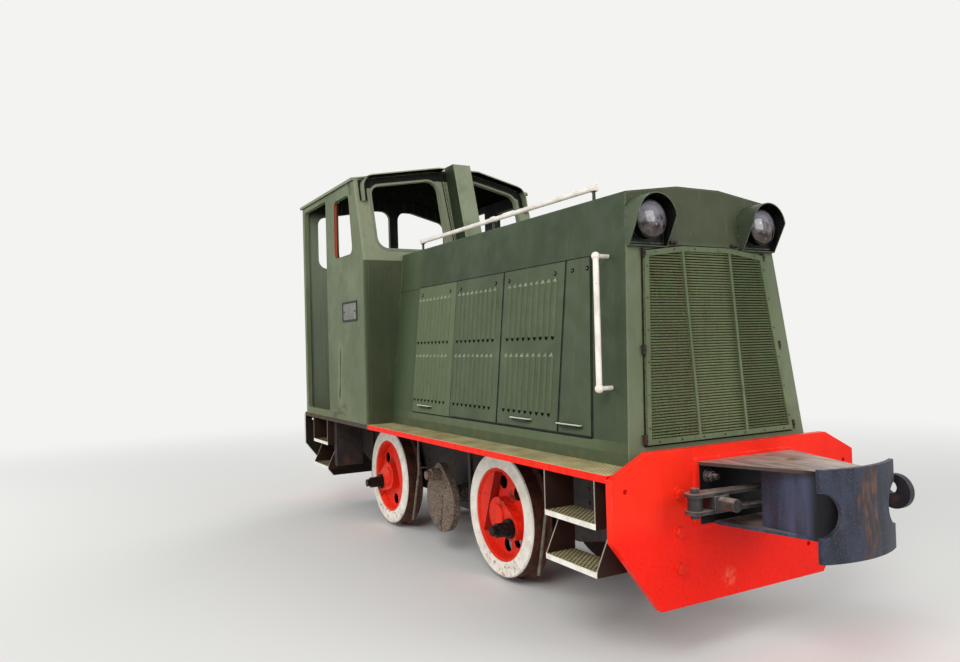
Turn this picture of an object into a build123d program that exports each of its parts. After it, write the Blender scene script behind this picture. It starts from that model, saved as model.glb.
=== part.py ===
"""A two-axle narrow-gauge diesel locomotive with a jackshaft, an open cab and louvred side covers.

Millimetres. X runs forward to the grille, Y to the left side, Z up.
The origin lies midway between the buffers, on the centre line, at the level of the flange bottoms.
"""

import math
import os

from build123d import *

os.makedirs("parts", exist_ok=True)

# End plates and main frame
frame_half = 2350.0
plate_t = 40.0
plate_top, plate_shoulder, plate_hip, plate_bottom = 1005.0, 900.0, 620.0, 275.0
plate_half, plate_top_half, plate_bottom_half = 835.0, 616.0, 565.0
pad_t, pad_half, pad_low, pad_high = 12.0, 340.0, 630.0, 949.0
spare_hole_r = 12.0
frame_y, frame_t = 290.0, 25.0
frame_top, frame_low, frame_end_low = 885.0, 360.0, 560.0
deck_z, deck_t, deck_edge = 920.0, 8.0, 35.0

# Wheels and jackshaft
tread_r, flange_h = 400.0, 26.0
axle_z = tread_r + flange_h
front_axle_x, rear_axle_x, jack_x = 760.0, -1090.0, -20.0
tyre_back, tyre_face, flange_t = 350.0, 480.0, 28.0
tyre_bore = 298.0
axle_r, jack_r = 72.0, 62.0
crank_r, crank_pin_r, crank_end = 160.0, 44.0, 625.0
crank_collar_r, crank_collar_t, crank_nut_r, crank_nut_t = 62.0, 26.0, 31.0, 34.0
bearing_gap = 5.0
front_crank, rear_crank, jack_crank = -22.0, 205.0, 92.0
quarter = 90.0

# Hood
hood_rear_x = -635.0
kick_z, hood_low_half = 982.0, 617.0
hood_top_z, hood_top_half = 2253.0, 493.0
crest_z, crest_half = 2302.0, 150.0
hood_front_low_x, hood_front_top_x = 2216.0, 2102.0
sheet = 6.0
side_lean = (hood_low_half - hood_top_half) / (hood_top_z - kick_z)
side_stretch = math.sqrt(1 + side_lean**2)
front_lean = (hood_front_low_x - hood_front_top_x) / (hood_top_z - kick_z)

# Side covers: name, rear edge, front edge at the foot and at the top, first louvre, middle of the handle
cover_low, cover_high = 1037.0, 1960.0
cover_gap, cover_proud, cover_seat = 6.0, 4.0, 0.5
covers = (
    ("cover_1", -259.0, 355.0, 355.0, -228.0, -30.0),
    ("cover_2", 358.0, 985.0, 985.0, 405.0, 620.0),
    ("cover_3", 988.0, 1634.0, 1634.0, 1062.0, 1276.0),
    ("cover_4", 1637.0, 1933.0, 1847.0, None, 1748.0),
)
louvre_count, louvre_pitch, louvre_w, louvre_h = 9, 60.0, 34.0, 10.0
louvre_nose, louvre_mouth = 24.0, 24.0
louvre_rows = ((1130.0, 1466.0), (1550.0, 1880.0))
handle_length, handle_z, handle_off = 210.0, 1080.0, 16.0
bare_covers = (("right", "cover_2"),)

# Cab
cab_half, wall_t, corner_r = 835.0, 40.0, 24.0
cab_front_x, cab_rear_x = hood_rear_x, -2270.0
belt_z, windscreen_lean = 2215.0, 0.295
roof_flat_right, roof_flat_left, roof_flat_z = -75.0, 310.0, 3042.0
eave_half, eave_z, roof_t = 850.0, 2902.0, 25.0
brow_lean = 0.184
roof_drop = roof_flat_z - eave_z
doorway_rear, doorway_front, doorway_low, doorway_high = -2193.0, -1544.0, 976.0, 2836.0
duct_right, duct_left, duct_depth, duct_top, duct_wall = 27.0, 190.0, 165.0, 3066.0, 6.0
brow_half, brow_foot, brow_t, brow_r = 780.0, 2700.0, 10.0, 118.0

# Couplers, measured outward from the face of an end plate
nose_r, nose_t, nose_rear, nose_front = 135.0, 14.0, 215.0, 598.0
bracket_half, bracket_tip_half = 323.0, 108.0
bracket_top, bracket_low, bracket_t = 939.0, 633.0, 16.0
buffer_end, buffer_bulge, buffer_half, buffer_t = 610.0, 51.0, 247.0, 20.0
buffer_low, buffer_high, buffer_notch_r, coupler_z = 580.0, 967.0, 92.0, 779.0
buffer_r = (buffer_half**2 + buffer_bulge**2) / (2 * buffer_bulge)

SIDES = (("right", -1), ("left", 1))
ENDS = (("front", 1), ("rear", -1))


def finish(part, name):
    """Labels a finished piece and writes it."""
    part.label = name
    export_step(part, f"parts/{name}.step")


def side_y(z):
    """Outer half width of the hood's leaning side at a height."""
    return hood_low_half - side_lean * (z - kick_z)


def front_x(z):
    """Front face of the hood at a height."""
    return hood_front_low_x - front_lean * (z - kick_z)


def windscreen_x(z):
    """Front face of the cab at a height above the belt line."""
    return cab_front_x - windscreen_lean * (z - belt_z)


def brow_x(z):
    """Front edge of the roof and of the brows over the front windows."""
    return cab_front_x - brow_lean * (z - belt_z)


def roof_z(y):
    """Top of the cab roof at a distance left of the centre line. The crown lies round the duct."""
    right_run = max(0.0, roof_flat_right - y) / (eave_half + roof_flat_right)
    left_run = max(0.0, y - roof_flat_left) / (eave_half - roof_flat_left)
    return roof_flat_z - roof_drop * (right_run + left_run)


def prism(plane, points, depth, both=False):
    """A private straight solid over a closed outline."""
    with BuildPart(mode=Mode.PRIVATE) as made:
        with BuildSketch(plane):
            with BuildLine():
                Polyline(*points, close=True)
            make_face()
        extrude(amount=depth, both=both)
    return made.part


def cross_section(x):
    """A plane across the locomotive, with Y to its right and Z up, looking along -X."""
    return Plane(origin=(x, 0, 0), x_dir=(0, 1, 0), z_dir=(1, 0, 0))


def long_section(y):
    """A plane along the locomotive, with X to its right and Z up, facing -Y."""
    return Plane(origin=(0, y, 0), x_dir=(1, 0, 0), z_dir=(0, -1, 0))


def end_plate(end, sign):
    """Octagonal headstock with the welded pad that carries the coupler."""
    outline = [
        (plate_top_half, plate_top), (plate_half, plate_shoulder), (plate_half, plate_hip),
        (plate_bottom_half, plate_bottom), (-plate_bottom_half, plate_bottom),
        (-plate_half, plate_hip), (-plate_half, plate_shoulder), (-plate_top_half, plate_top),
    ]
    with BuildPart() as plate:
        with BuildSketch(cross_section(sign * (frame_half - plate_t))):
            with BuildLine():
                Polyline(*outline, close=True)
            make_face()
        extrude(amount=sign * plate_t)
        with BuildSketch(cross_section(sign * frame_half)):
            with Locations((0, (pad_low + pad_high) / 2)):
                Rectangle(2 * pad_half, pad_high - pad_low)
        extrude(amount=sign * pad_t)
        with BuildSketch(cross_section(sign * frame_half)):
            with Locations((-758, 844), (758, 844), (452, 438), (-452, 438)):
                Circle(spare_hole_r)
        extrude(amount=-sign * plate_t, mode=Mode.SUBTRACT)
    finish(plate.part, f"{end}_end_plate")


def main_frame():
    """Two inside frame plates with axle guides, joined by cross stretchers."""
    reach = frame_half - plate_t
    outline = [
        (-reach, frame_top), (-reach, frame_end_low), (-1700, frame_low), (1400, frame_low),
        (reach, frame_end_low), (reach, frame_top),
    ]
    guide_half, guide_top = 115.0, 600.0
    with BuildPart() as frame:
        for sign in (-1, 1):
            inner = sign * frame_y
            with BuildSketch(long_section(inner)):
                with BuildLine():
                    Polyline(*outline, close=True)
                make_face()
                with Locations((front_axle_x, 400), (rear_axle_x, 400)):
                    Rectangle(2 * guide_half, 2 * (guide_top - 400), mode=Mode.SUBTRACT)
                with Locations((jack_x, axle_z)):
                    Circle(jack_r + bearing_gap, mode=Mode.SUBTRACT)
            extrude(amount=-sign * frame_t)
        for x in (-2150, -1600, -620, 360, 1500, 2100):
            with Locations((x, 0, (frame_top + 620) / 2)):
                Box(20, 2 * frame_y, frame_top - 620)
    finish(frame.part, "main_frame")


def running_boards():
    """Tread plates beside the hood, turned down at the outer edge."""
    length = frame_half - plate_t - hood_rear_x
    with BuildPart() as boards:
        for sign in (-1, 1):
            outline = [
                (sign * frame_y, deck_z), (sign * plate_half, deck_z),
                (sign * plate_half, deck_z - deck_edge), (sign * (plate_half - deck_t), deck_z - deck_edge),
                (sign * (plate_half - deck_t), deck_z - deck_t), (sign * frame_y, deck_z - deck_t),
            ]
            with BuildSketch(cross_section(hood_rear_x)):
                with BuildLine():
                    Polyline(*outline, close=True)
                make_face()
            extrude(amount=length)
            with Locations((0.5 * (hood_rear_x + frame_half - plate_t), sign * (frame_y + frame_t / 2),
                            (deck_z - deck_t + frame_top) / 2)):
                Box(length, frame_t, deck_z - deck_t - frame_top)
    finish(boards.part, "running_boards")


def cab_floor():
    """Floor plate under the cab, flush with the running boards."""
    with BuildPart() as floor:
        with BuildSketch(Plane.XY.offset(deck_z - deck_edge)):
            with Locations(((cab_front_x - frame_half + plate_t) / 2, 0)):
                Rectangle(frame_half - plate_t + cab_front_x, 2 * plate_half)
        extrude(amount=deck_edge)
    finish(floor.part, "cab_floor")


# Step places: name, rear edge, front edge
step_places = (("front_steps", 1820.0, 2230.0), ("cab_steps", -2045.0, -1635.0))
tread_upper, tread_lower, tread_depth, tread_lip, step_sheet = 688.0, 470.0, 175.0, 26.0, 8.0
cheek_waist = 92.0


def steps(name, rear, front):
    """Two folded treads between cheek plates, on both sides."""
    back = plate_half - tread_depth
    cheek = [
        (plate_half, frame_top), (plate_half, tread_upper - tread_lip),
        (plate_half - cheek_waist, tread_upper - tread_lip), (plate_half, tread_lower),
        (plate_half, tread_lower - tread_lip), (back, tread_lower - tread_lip), (back, frame_top),
    ]
    with BuildPart() as made:
        for sign in (-1, 1):
            for x in (rear, front - step_sheet):
                with BuildSketch(cross_section(x)):
                    with BuildLine():
                        Polyline(*[(sign * y, z) for y, z in cheek], close=True)
                    make_face()
                extrude(amount=step_sheet)
            for z in (tread_upper, tread_lower):
                lip = [
                    (back, z), (plate_half, z), (plate_half, z - tread_lip),
                    (plate_half - step_sheet, z - tread_lip), (plate_half - step_sheet, z - step_sheet),
                    (back, z - step_sheet),
                ]
                with BuildSketch(cross_section(rear)):
                    with BuildLine():
                        Polyline(*[(sign * y, z) for y, z in lip], close=True)
                    make_face()
                extrude(amount=front - rear)
    finish(made.part, name)


def front_cut(offset):
    """A tall block in front of the hood's front face."""
    low, high = 800.0, 2500.0
    points = [
        (front_x(low) + offset, low), (front_x(high) + offset, high), (3200, high), (3200, low),
    ]
    return prism(long_section(0), points, 1000, both=True)


def hood_side(side, sign):
    """Leaning side sheet with a vertical kick strip and the four cover openings."""
    with BuildPart() as made:
        outline = [
            (sign * (hood_low_half - sheet), deck_z), (sign * hood_low_half, deck_z),
            (sign * hood_low_half, kick_z), (sign * hood_top_half, hood_top_z),
            (sign * (hood_top_half - sheet), hood_top_z), (sign * (hood_low_half - sheet), kick_z),
        ]
        with BuildSketch(cross_section(hood_rear_x)):
            with BuildLine():
                Polyline(*outline, close=True)
            make_face()
        extrude(amount=hood_front_low_x + 20 - hood_rear_x)
        for _, rear, _, front, _, _ in covers:
            with Locations(((rear + front) / 2, sign * 560, (cover_low + cover_high) / 2)):
                Box(front - rear - 40, 260, cover_high - cover_low - 40, mode=Mode.SUBTRACT)
        add(front_cut(-sheet * slope_stretch), mode=Mode.SUBTRACT)
    finish(made.part, f"hood_side_{side}")


def cover_plane(sign, offset):
    """The plane of a leaning side, facing outward, with its second direction running up the slope."""
    normal = (0, sign / side_stretch, side_lean / side_stretch)
    origin = (0, sign * (hood_low_half + offset), kick_z)
    return Plane(origin=origin, x_dir=(-sign, 0, 0), z_dir=normal)


def on_side(sign, x, z):
    """A point of the leaning side, given by its height, in the plane's own coordinates."""
    return (-sign * x, (z - kick_z) * side_stretch)


def louvre_outline(half, low, nose_low, nose_high):
    """A pressed louvre seen from outside: square at the foot, pointed at the top."""
    return [(-half, low), (half, low), (half, nose_low), (0, nose_high), (-half, nose_low)]


def louvre(length):
    """A long pressed ridge that rises from a point at its top and is open at its foot."""
    nose = length - louvre_nose
    with BuildPart(mode=Mode.PRIVATE) as ridge:
        with BuildSketch(Plane.XY):
            with BuildLine():
                Polyline(*louvre_outline(louvre_w / 2, 0, nose, length), close=True)
            make_face()
        extrude(amount=louvre_h, taper=25)
        with BuildSketch(Plane.YZ):
            with BuildLine():
                Polyline((nose, louvre_h), (length, 0), (length, louvre_h), close=True)
            make_face()
        extrude(amount=louvre_w, both=True, mode=Mode.SUBTRACT)
        with BuildSketch(Plane.YZ):
            with BuildLine():
                Polyline((-1, 0), (louvre_h / 2, 0), (-1, 2 * louvre_h), close=True)
            make_face()
        extrude(amount=louvre_w, both=True, mode=Mode.SUBTRACT)
    return ridge.part


def louvre_mouth_cut(length):
    """What is open in a louvre: its hollow and the pointed hole in the sheet below its foot."""
    half = louvre_w / 2 - 4
    with BuildPart(mode=Mode.PRIVATE) as cut:
        with BuildSketch(Plane.XY.offset(-2 * cover_proud)):
            with BuildLine():
                Polyline((-half, 6), (0, -louvre_mouth), (half, 6), close=True)
            make_face()
        extrude(amount=3 * cover_proud)
        with Locations((0, (length - louvre_nose) / 2, -cover_proud)):
            Box(louvre_w - 14, length - louvre_nose - 12, 2 * (cover_proud + louvre_h) - 6)
    return cut.part


def side_cover(side, sign, cover):
    """One cover that hangs from its top edge, with two rows of pressed louvres and a flat handle."""
    name, rear, front_low, front_high, first_louvre, handle_x = cover
    outline = [
        on_side(sign, rear, cover_low), on_side(sign, front_low - cover_gap, cover_low),
        on_side(sign, front_high - cover_gap, cover_high), on_side(sign, rear, cover_high),
    ]
    holes = [on_side(sign, x, cover_high - 58) for x in (rear + 62, front_high - 96)]
    with BuildPart() as made:
        with BuildSketch(cover_plane(sign, cover_seat + cover_proud)):
            with BuildLine():
                Polyline(*outline, close=True)
            make_face()
            with Locations(*holes):
                Circle(8, mode=Mode.SUBTRACT)
        extrude(amount=-cover_proud)
        if first_louvre is not None:
            for low, high in louvre_rows:
                length = (high - low) * side_stretch
                places = [on_side(sign, first_louvre + n * louvre_pitch, low) for n in range(louvre_count)]
                with Locations(cover_plane(sign, cover_seat + cover_proud)):
                    with Locations(*places):
                        add(louvre(length))
                        add(louvre_mouth_cut(length), mode=Mode.SUBTRACT)
        if (side, name) not in bare_covers:
            with Locations(cover_plane(sign, cover_seat + cover_proud)):
                with Locations(on_side(sign, handle_x, handle_z)):
                    add(handle())
    finish(made.part, f"{side}_{name}")


def handle():
    """A flat strip bent into a low bridge."""
    half = handle_length / 2
    bridge = [
        (-half, 0), (-half + 24, 0), (-half + 40, handle_off - 4), (half - 40, handle_off - 4),
        (half - 24, 0), (half, 0), (half, 4), (half - 22, 4), (half - 38, handle_off),
        (-half + 38, handle_off), (-half + 22, 4), (-half, 4),
    ]
    with BuildPart(mode=Mode.PRIVATE) as strip:
        with BuildSketch(Plane.XZ):
            with BuildLine():
                Polyline(*bridge, close=True)
            make_face()
        extrude(amount=9, both=True)
    return strip.part


def hood_roof():
    """Roof sheet with a flat crest and sloping flanks, cut to the leaning faces at both ends."""
    top = [
        (-hood_top_half, hood_top_z), (-crest_half, crest_z), (crest_half, crest_z),
        (hood_top_half, hood_top_z), (hood_top_half, hood_top_z + sheet), (crest_half, crest_z + sheet),
        (-crest_half, crest_z + sheet), (-hood_top_half, hood_top_z + sheet),
    ]
    with BuildPart() as made:
        with BuildSketch(cross_section(hood_rear_x - 60)):
            with BuildLine():
                Polyline(*top, close=True)
            make_face()
        extrude(amount=hood_front_low_x - hood_rear_x)
        add(front_cut(0), mode=Mode.SUBTRACT)
        add(cab_front_block(0), mode=Mode.SUBTRACT)
    finish(made.part, "hood_roof")


def cab_front_block(offset):
    """Everything behind the cab's front face."""
    points = [
        (-3000, 800), (cab_front_x + offset, 800), (cab_front_x + offset, belt_z),
        (windscreen_x(3200) + offset, 3200), (-3000, 3200),
    ]
    return prism(long_section(0), points, 1200, both=True)


def lean_plane(offset):
    """The plane of the hood's front face, with Y to its right and its up direction along the slope."""
    angle = math.atan(front_lean)
    normal = (math.cos(angle), 0, math.sin(angle))
    origin = (hood_front_low_x + offset * normal[0], 0, kick_z + offset * normal[2])
    return Plane(origin=origin, x_dir=(0, 1, 0), z_dir=normal)


slope_stretch = math.sqrt(1 + front_lean**2)


def on_slope(y, z):
    """A point of the front face, given by its height, in the plane's own coordinates."""
    return (y, (z - kick_z) * slope_stretch)


grille_low, grille_low_half = 1016.0, 511.0
grille_high, grille_high_half = 1959.0, 421.0
grille_crest, grille_bar_y, grille_border = 1990.0, 166.0, 26.0
grille_t, fin_pitch, fin_t = 20.0, 14.0, 5.0


def grille_outline(inset):
    """Trapezoid with a raised middle, inset by the border's width."""
    return [
        on_slope(-grille_low_half + inset, grille_low + inset),
        on_slope(grille_low_half - inset, grille_low + inset),
        on_slope(grille_high_half - inset, grille_high - inset),
        on_slope(grille_bar_y, grille_crest - inset),
        on_slope(-grille_bar_y, grille_crest - inset),
        on_slope(-grille_high_half + inset, grille_high - inset),
    ]


def hood_front():
    """Front sheet, open behind the grille."""
    outline = [
        on_slope(-hood_low_half, deck_z), on_slope(hood_low_half, deck_z), on_slope(hood_low_half, kick_z),
        on_slope(hood_top_half, hood_top_z), on_slope(crest_half, crest_z), on_slope(-crest_half, crest_z),
        on_slope(-hood_top_half, hood_top_z), on_slope(-hood_low_half, kick_z),
    ]
    with BuildPart() as made:
        with BuildSketch(lean_plane(0)):
            with BuildLine():
                Polyline(*outline, close=True)
            make_face()
            with BuildLine():
                Polyline(*grille_outline(grille_border), close=True)
            make_face(mode=Mode.SUBTRACT)
        extrude(amount=-sheet)
        with BuildSketch(Plane.XY.offset(800)):
            Rectangle(6000, 2000)
        extrude(amount=deck_z - 800, mode=Mode.SUBTRACT)
    finish(made.part, "hood_front")


def grille():
    """Border and two bars over rows of slanting fins."""
    rows = int((grille_crest - grille_low) / fin_pitch)
    with BuildPart(mode=Mode.PRIVATE) as fins:
        first = on_slope(0, grille_low)[1]
        places = [(0, first + (n + 0.5) * fin_pitch * slope_stretch, 0) for n in range(rows)]
        with Locations(lean_plane(8)):
            with Locations(*places):
                Box(2 * grille_low_half, fin_t, 11, rotation=(35, 0, 0))
    with BuildPart(mode=Mode.PRIVATE) as window:
        with BuildSketch(lean_plane(-10)):
            with BuildLine():
                Polyline(*grille_outline(grille_border - 3), close=True)
            make_face()
        extrude(amount=60)
    with BuildPart() as made:
        with BuildSketch(lean_plane(0)):
            with BuildLine():
                Polyline(*grille_outline(0), close=True)
            make_face()
            with BuildLine():
                Polyline(*grille_outline(grille_border), close=True)
            make_face(mode=Mode.SUBTRACT)
            for y in (-grille_bar_y, grille_bar_y):
                with Locations(on_slope(y, (grille_low + grille_crest) / 2)):
                    Rectangle(14, (grille_crest - grille_low - grille_border) * slope_stretch)
        extrude(amount=grille_t)
        add(fins.part & window.part)
    finish(made.part, "grille")


lamp_y, lamp_z, visor_r, visor_low, visor_t = 394.0, 2113.0, 125.0, 1982.0, 5.0
visor_top_x, visor_low_x, lens_x, lens_r = 2225.0, 2135.0, 2178.0, 88.0


def headlamps():
    """Arched visors with slanting fronts, each round a lamp bowl."""
    with BuildPart() as made:
        for sign in (-1, 1):
            y = sign * lamp_y
            with BuildSketch(cross_section(2080)):
                with Locations((y, lamp_z)):
                    Circle(visor_r)
                with Locations((y, (lamp_z + visor_low) / 2)):
                    Rectangle(2 * visor_r, lamp_z - visor_low)
                with Locations((y, lamp_z)):
                    Circle(visor_r - visor_t, mode=Mode.SUBTRACT)
                with Locations((y, (lamp_z + visor_low + visor_t) / 2)):
                    Rectangle(2 * (visor_r - visor_t), lamp_z - visor_low - visor_t, mode=Mode.SUBTRACT)
            extrude(amount=visor_top_x - 2080)
            with BuildSketch(cross_section(2080)):
                with Locations((y, lamp_z)):
                    Circle(visor_r - visor_t + 0.5)
                with Locations((y, (lamp_z + visor_low) / 2)):
                    Rectangle(2 * visor_r - 4, lamp_z - visor_low - 2)
            extrude(amount=2125 - 2080)
            with BuildSketch(cross_section(2080)):
                with Locations((y, lamp_z)):
                    Circle(lens_r + 6)
            extrude(amount=lens_x - 2080)
        slant = [
            (visor_low_x, visor_low - 20), (visor_top_x, lamp_z + 20), (visor_top_x, 2400), (2500, 2400),
            (2500, visor_low - 20),
        ]
        add(prism(long_section(0), slant, 1000, both=True), mode=Mode.SUBTRACT)
        add(back_of_front(), mode=Mode.SUBTRACT)
    finish(made.part, "headlamps")


def back_of_front():
    """Everything behind the hood's front face."""
    low, high = 800.0, 2600.0
    points = [(front_x(low), low), (front_x(high), high), (1000, high), (1000, low)]
    return prism(long_section(0), points, 1200, both=True)


def headlamp_lenses():
    """Two bulging round lenses."""
    bulge = 22.0
    dome_r = (lens_r**2 + bulge**2) / (2 * bulge)
    with BuildPart() as made:
        for sign in (-1, 1):
            plane = Plane(origin=(lens_x, sign * lamp_y, lamp_z), x_dir=(1, 0, 0), z_dir=(0, -1, 0))
            with BuildSketch(plane):
                with BuildLine():
                    Line((0, 0), (0, lens_r))
                    RadiusArc((0, lens_r), (bulge, 0), dome_r)
                    Line((bulge, 0), (0, 0))
                make_face()
            revolve(axis=Axis((lens_x, sign * lamp_y, lamp_z), (1, 0, 0)))
    finish(made.part, "headlamp_lenses")


rail_r, rail_post_r = 15.0, 9.0
roof_rail_y, roof_rail_z = 455.0, 2331.0
roof_rail_x = (-333.0, 747.0, 1804.0)
grab_low, grab_high = (2069.0, 1290.0), (1990.0, 1945.0)
grab_off = 78.0


def handrails():
    """Roof rails on posts and an upright grab rail near the front of each side."""
    with BuildPart() as made:
        for sign in (-1, 1):
            y = sign * roof_rail_y
            start = Vector(roof_rail_x[0] - 20, y, roof_rail_z)
            end = Vector(roof_rail_x[-1] + 20, y, roof_rail_z)
            add(rod(start, end, rail_r))
            for x in roof_rail_x:
                add(rod(Vector(x, y, hood_top_z), Vector(x, y, roof_rail_z), rail_post_r))
            low = Vector(grab_low[0], sign * (side_y(grab_low[1]) + grab_off), grab_low[1])
            high = Vector(grab_high[0], sign * (side_y(grab_high[1]) + grab_off), grab_high[1])
            add(rod(low, high, rail_r))
            for end in (low, high):
                with Locations(end):
                    Sphere(22)
                add(rod(Vector(end.X, sign * (side_y(end.Z) - 10), end.Z), end, 11))
        add(hood_block(), mode=Mode.SUBTRACT)
    finish(made.part, "handrails")


def hood_section(rise):
    """Outer cross-section of the hood, with the roof raised by its sheet."""
    return [
        (-hood_low_half, deck_z), (hood_low_half, deck_z), (hood_low_half, kick_z),
        (hood_top_half, hood_top_z), (hood_top_half, hood_top_z + rise), (crest_half, crest_z + rise),
        (-crest_half, crest_z + rise), (-hood_top_half, hood_top_z + rise), (-hood_top_half, hood_top_z),
        (-hood_low_half, kick_z),
    ]


def hood_block():
    """The hood's whole outer volume, which trims what is seated on it."""
    return prism(cross_section(hood_rear_x), hood_section(sheet), hood_front_low_x - hood_rear_x)


def rod(start, end, radius):
    """A private round bar between two points."""
    direction = end - start
    with BuildPart(mode=Mode.PRIVATE) as bar:
        with BuildSketch(Plane(origin=start, z_dir=direction)):
            Circle(radius)
        extrude(amount=direction.length)
    return bar.part


def under_roof():
    """The room below the roof's underside, across the whole cab."""
    wide = 950.0
    points = [
        (-wide, 800), (wide, 800), (wide, roof_z(wide) - roof_t), (roof_flat_left, roof_flat_z - roof_t),
        (roof_flat_right, roof_flat_z - roof_t), (-wide, roof_z(-wide) - roof_t),
    ]
    return prism(cross_section(-2600), points, 2400)


window_rear, window_front_low, window_front_top = -1318.0, -863.0, -940.0
window_low, window_high = 2288.0, 2787.0


def cab_side(side, sign):
    """Side wall with the open doorway and the side window."""
    top = 3000.0
    outline = [
        (cab_rear_x, deck_z), (cab_front_x, deck_z), (cab_front_x, belt_z), (windscreen_x(top), top),
        (cab_rear_x, top),
    ]
    window = [
        (window_rear, window_low), (window_front_low, window_low), (window_front_top, window_high),
        (window_rear, window_high),
    ]
    with BuildPart() as made:
        with BuildSketch(long_section(sign * cab_half)):
            with BuildLine():
                Polyline(*outline, close=True)
            make_face()
            wide, tall = doorway_front - doorway_rear, doorway_high - doorway_low
            with Locations(((doorway_rear + doorway_front) / 2, (doorway_low + doorway_high) / 2)):
                RectangleRounded(wide, tall, 30, mode=Mode.SUBTRACT)
        extrude(amount=sign * wall_t)
        with BuildSketch(long_section(sign * cab_half)) as hole:
            with BuildLine():
                Polyline(*window, close=True)
            make_face()
            fillet(hole.vertices(), 60)
        extrude(amount=sign * wall_t, mode=Mode.SUBTRACT)
        add(under_roof(), mode=Mode.INTERSECT)
        outer = made.faces().sort_by(Axis.Y)[0 if sign < 0 else -1]
        corners = outer.edges().filter_by(lambda e: abs(e.tangent_at(0.5).X) < 0.5 and e.length > 500)
        rear_corner = corners.sort_by(Axis.X)[0]
        front_corners = corners.filter_by(lambda e: e.center().X > cab_front_x - 200)
        fillet([rear_corner, *front_corners], corner_r)
    finish(made.part, f"cab_side_{side}")


# Window openings of the end walls: y at one side, y at the other side
front_windows = ((-688.0, -74.0), (210.0, 690.0))
rear_windows = ((-690.0, 66.0), (154.0, 690.0))
front_sill, rear_sill, front_drop, rear_drop, window_r = 2316.0, 2310.0, 100.0, 130.0, 85.0


def window_hole(plane, right, left, sill, drop, depth):
    """Opening whose top edge runs parallel to the roof."""
    points = [(right, sill), (left, sill), (left, roof_z(left) - drop)]
    for kink in (roof_flat_left, roof_flat_right):
        if right + window_r < kink < left - window_r:
            points.append((kink, roof_z(kink) - drop))
    points.append((right, roof_z(right) - drop))
    with BuildPart(mode=Mode.PRIVATE) as made:
        with BuildSketch(plane) as hole:
            with BuildLine():
                Polyline(*points, close=True)
            make_face()
            fillet(hole.vertices(), window_r)
        extrude(amount=depth)
    return made.part


def cab_front():
    """Front wall: upright to the belt line, then leaning back with two windows."""
    top = 3100.0
    half = cab_half - wall_t
    outline = [
        (cab_front_x, deck_z), (cab_front_x, belt_z), (windscreen_x(top), top),
        (windscreen_x(top) - wall_t, top), (cab_front_x - wall_t, belt_z), (cab_front_x - wall_t, deck_z),
    ]
    with BuildPart() as made:
        with BuildSketch(long_section(0)):
            with BuildLine():
                Polyline(*outline, close=True)
            make_face()
        extrude(amount=half, both=True)
        for right, left in front_windows:
            hole = window_hole(cross_section(-1100), right, left, front_sill, front_drop, 600)
            add(hole, mode=Mode.SUBTRACT)
        add(under_roof(), mode=Mode.INTERSECT)
    finish(made.part, "cab_front")


def cab_rear():
    """Rear wall with two windows."""
    half = cab_half - wall_t
    with BuildPart() as made:
        with BuildSketch(cross_section(cab_rear_x)):
            with Locations((0, (deck_z + 3100) / 2)):
                Rectangle(2 * half, 3100 - deck_z)
        extrude(amount=wall_t)
        for right, left in rear_windows:
            hole = window_hole(cross_section(cab_rear_x - 20), right, left, rear_sill, rear_drop, 100)
            add(hole, mode=Mode.SUBTRACT)
        add(under_roof(), mode=Mode.INTERSECT)
    finish(made.part, "cab_rear")


def duct_outline(grow, low, high):
    """Leaning outline of the duct along the locomotive."""
    return [
        (windscreen_x(low) + grow, low), (windscreen_x(low) + duct_depth - grow, low),
        (windscreen_x(high) + duct_depth - grow, high), (windscreen_x(high) + grow, high),
    ]


def cab_roof():
    """Roof sheet with a flat crown and sloping flanks, cut flush with the leaning windscreen wall."""
    top = [
        (-eave_half, eave_z), (roof_flat_right, roof_flat_z),
        (roof_flat_left, roof_flat_z), (eave_half, eave_z),
    ]
    outline = top + [(y, z - roof_t) for y, z in reversed(top)]
    with BuildPart() as made:
        with BuildSketch(cross_section(cab_rear_x - 10)):
            with BuildLine():
                Polyline(*outline, close=True)
            make_face()
        extrude(amount=cab_front_x - cab_rear_x + 10)
        add(lean_block(windscreen_x, 900), mode=Mode.SUBTRACT)
    finish(made.part, "cab_roof")


def lean_block(edge_x, forward):
    """Everything from a leaning plane to a distance ahead of it, or behind it where that is negative."""
    low, high = 2600.0, 3200.0
    points = [
        (edge_x(low), low), (edge_x(high), high),
        (edge_x(high) + forward, high), (edge_x(low) + forward, low),
    ]
    return prism(long_section(0), points, 1000, both=True)


def brow_strip(sign, inner):
    """Band along the roof line, round the corner and down beside the window."""
    slope_y = brow_half - brow_r * 0.8
    slope_z = roof_z(sign * slope_y)
    inside_y, knee_z = brow_half - brow_t, slope_z - brow_r
    flat_y = roof_flat_left if sign > 0 else roof_flat_right
    with BuildPart(mode=Mode.PRIVATE) as strip:
        with BuildSketch(cross_section(-1000)):
            with BuildLine():
                start = Line((inner, roof_flat_z), (flat_y, roof_flat_z))
                slope = Line(start @ 1, (sign * slope_y, slope_z))
                down = Line((sign * brow_half, knee_z), (sign * brow_half, brow_foot))
                RadiusArc(slope @ 1, down @ 0, sign * brow_r * 1.02)
                foot = Line(down @ 1, (sign * inside_y, brow_foot))
                up = Line(foot @ 1, (sign * inside_y, knee_z))
                low = Line((sign * slope_y, slope_z - brow_t), (flat_y, roof_flat_z - brow_t))
                RadiusArc(low @ 0, up @ 1, sign * (brow_r * 1.02 - brow_t))
                last = Line(low @ 1, (inner, roof_flat_z - brow_t))
                Line(last @ 1, start @ 0)
            make_face()
        extrude(amount=400)
        add(lean_block(brow_x, 900), mode=Mode.SUBTRACT)
        add(lean_block(windscreen_x, -900), mode=Mode.SUBTRACT)
    return strip.part


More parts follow.
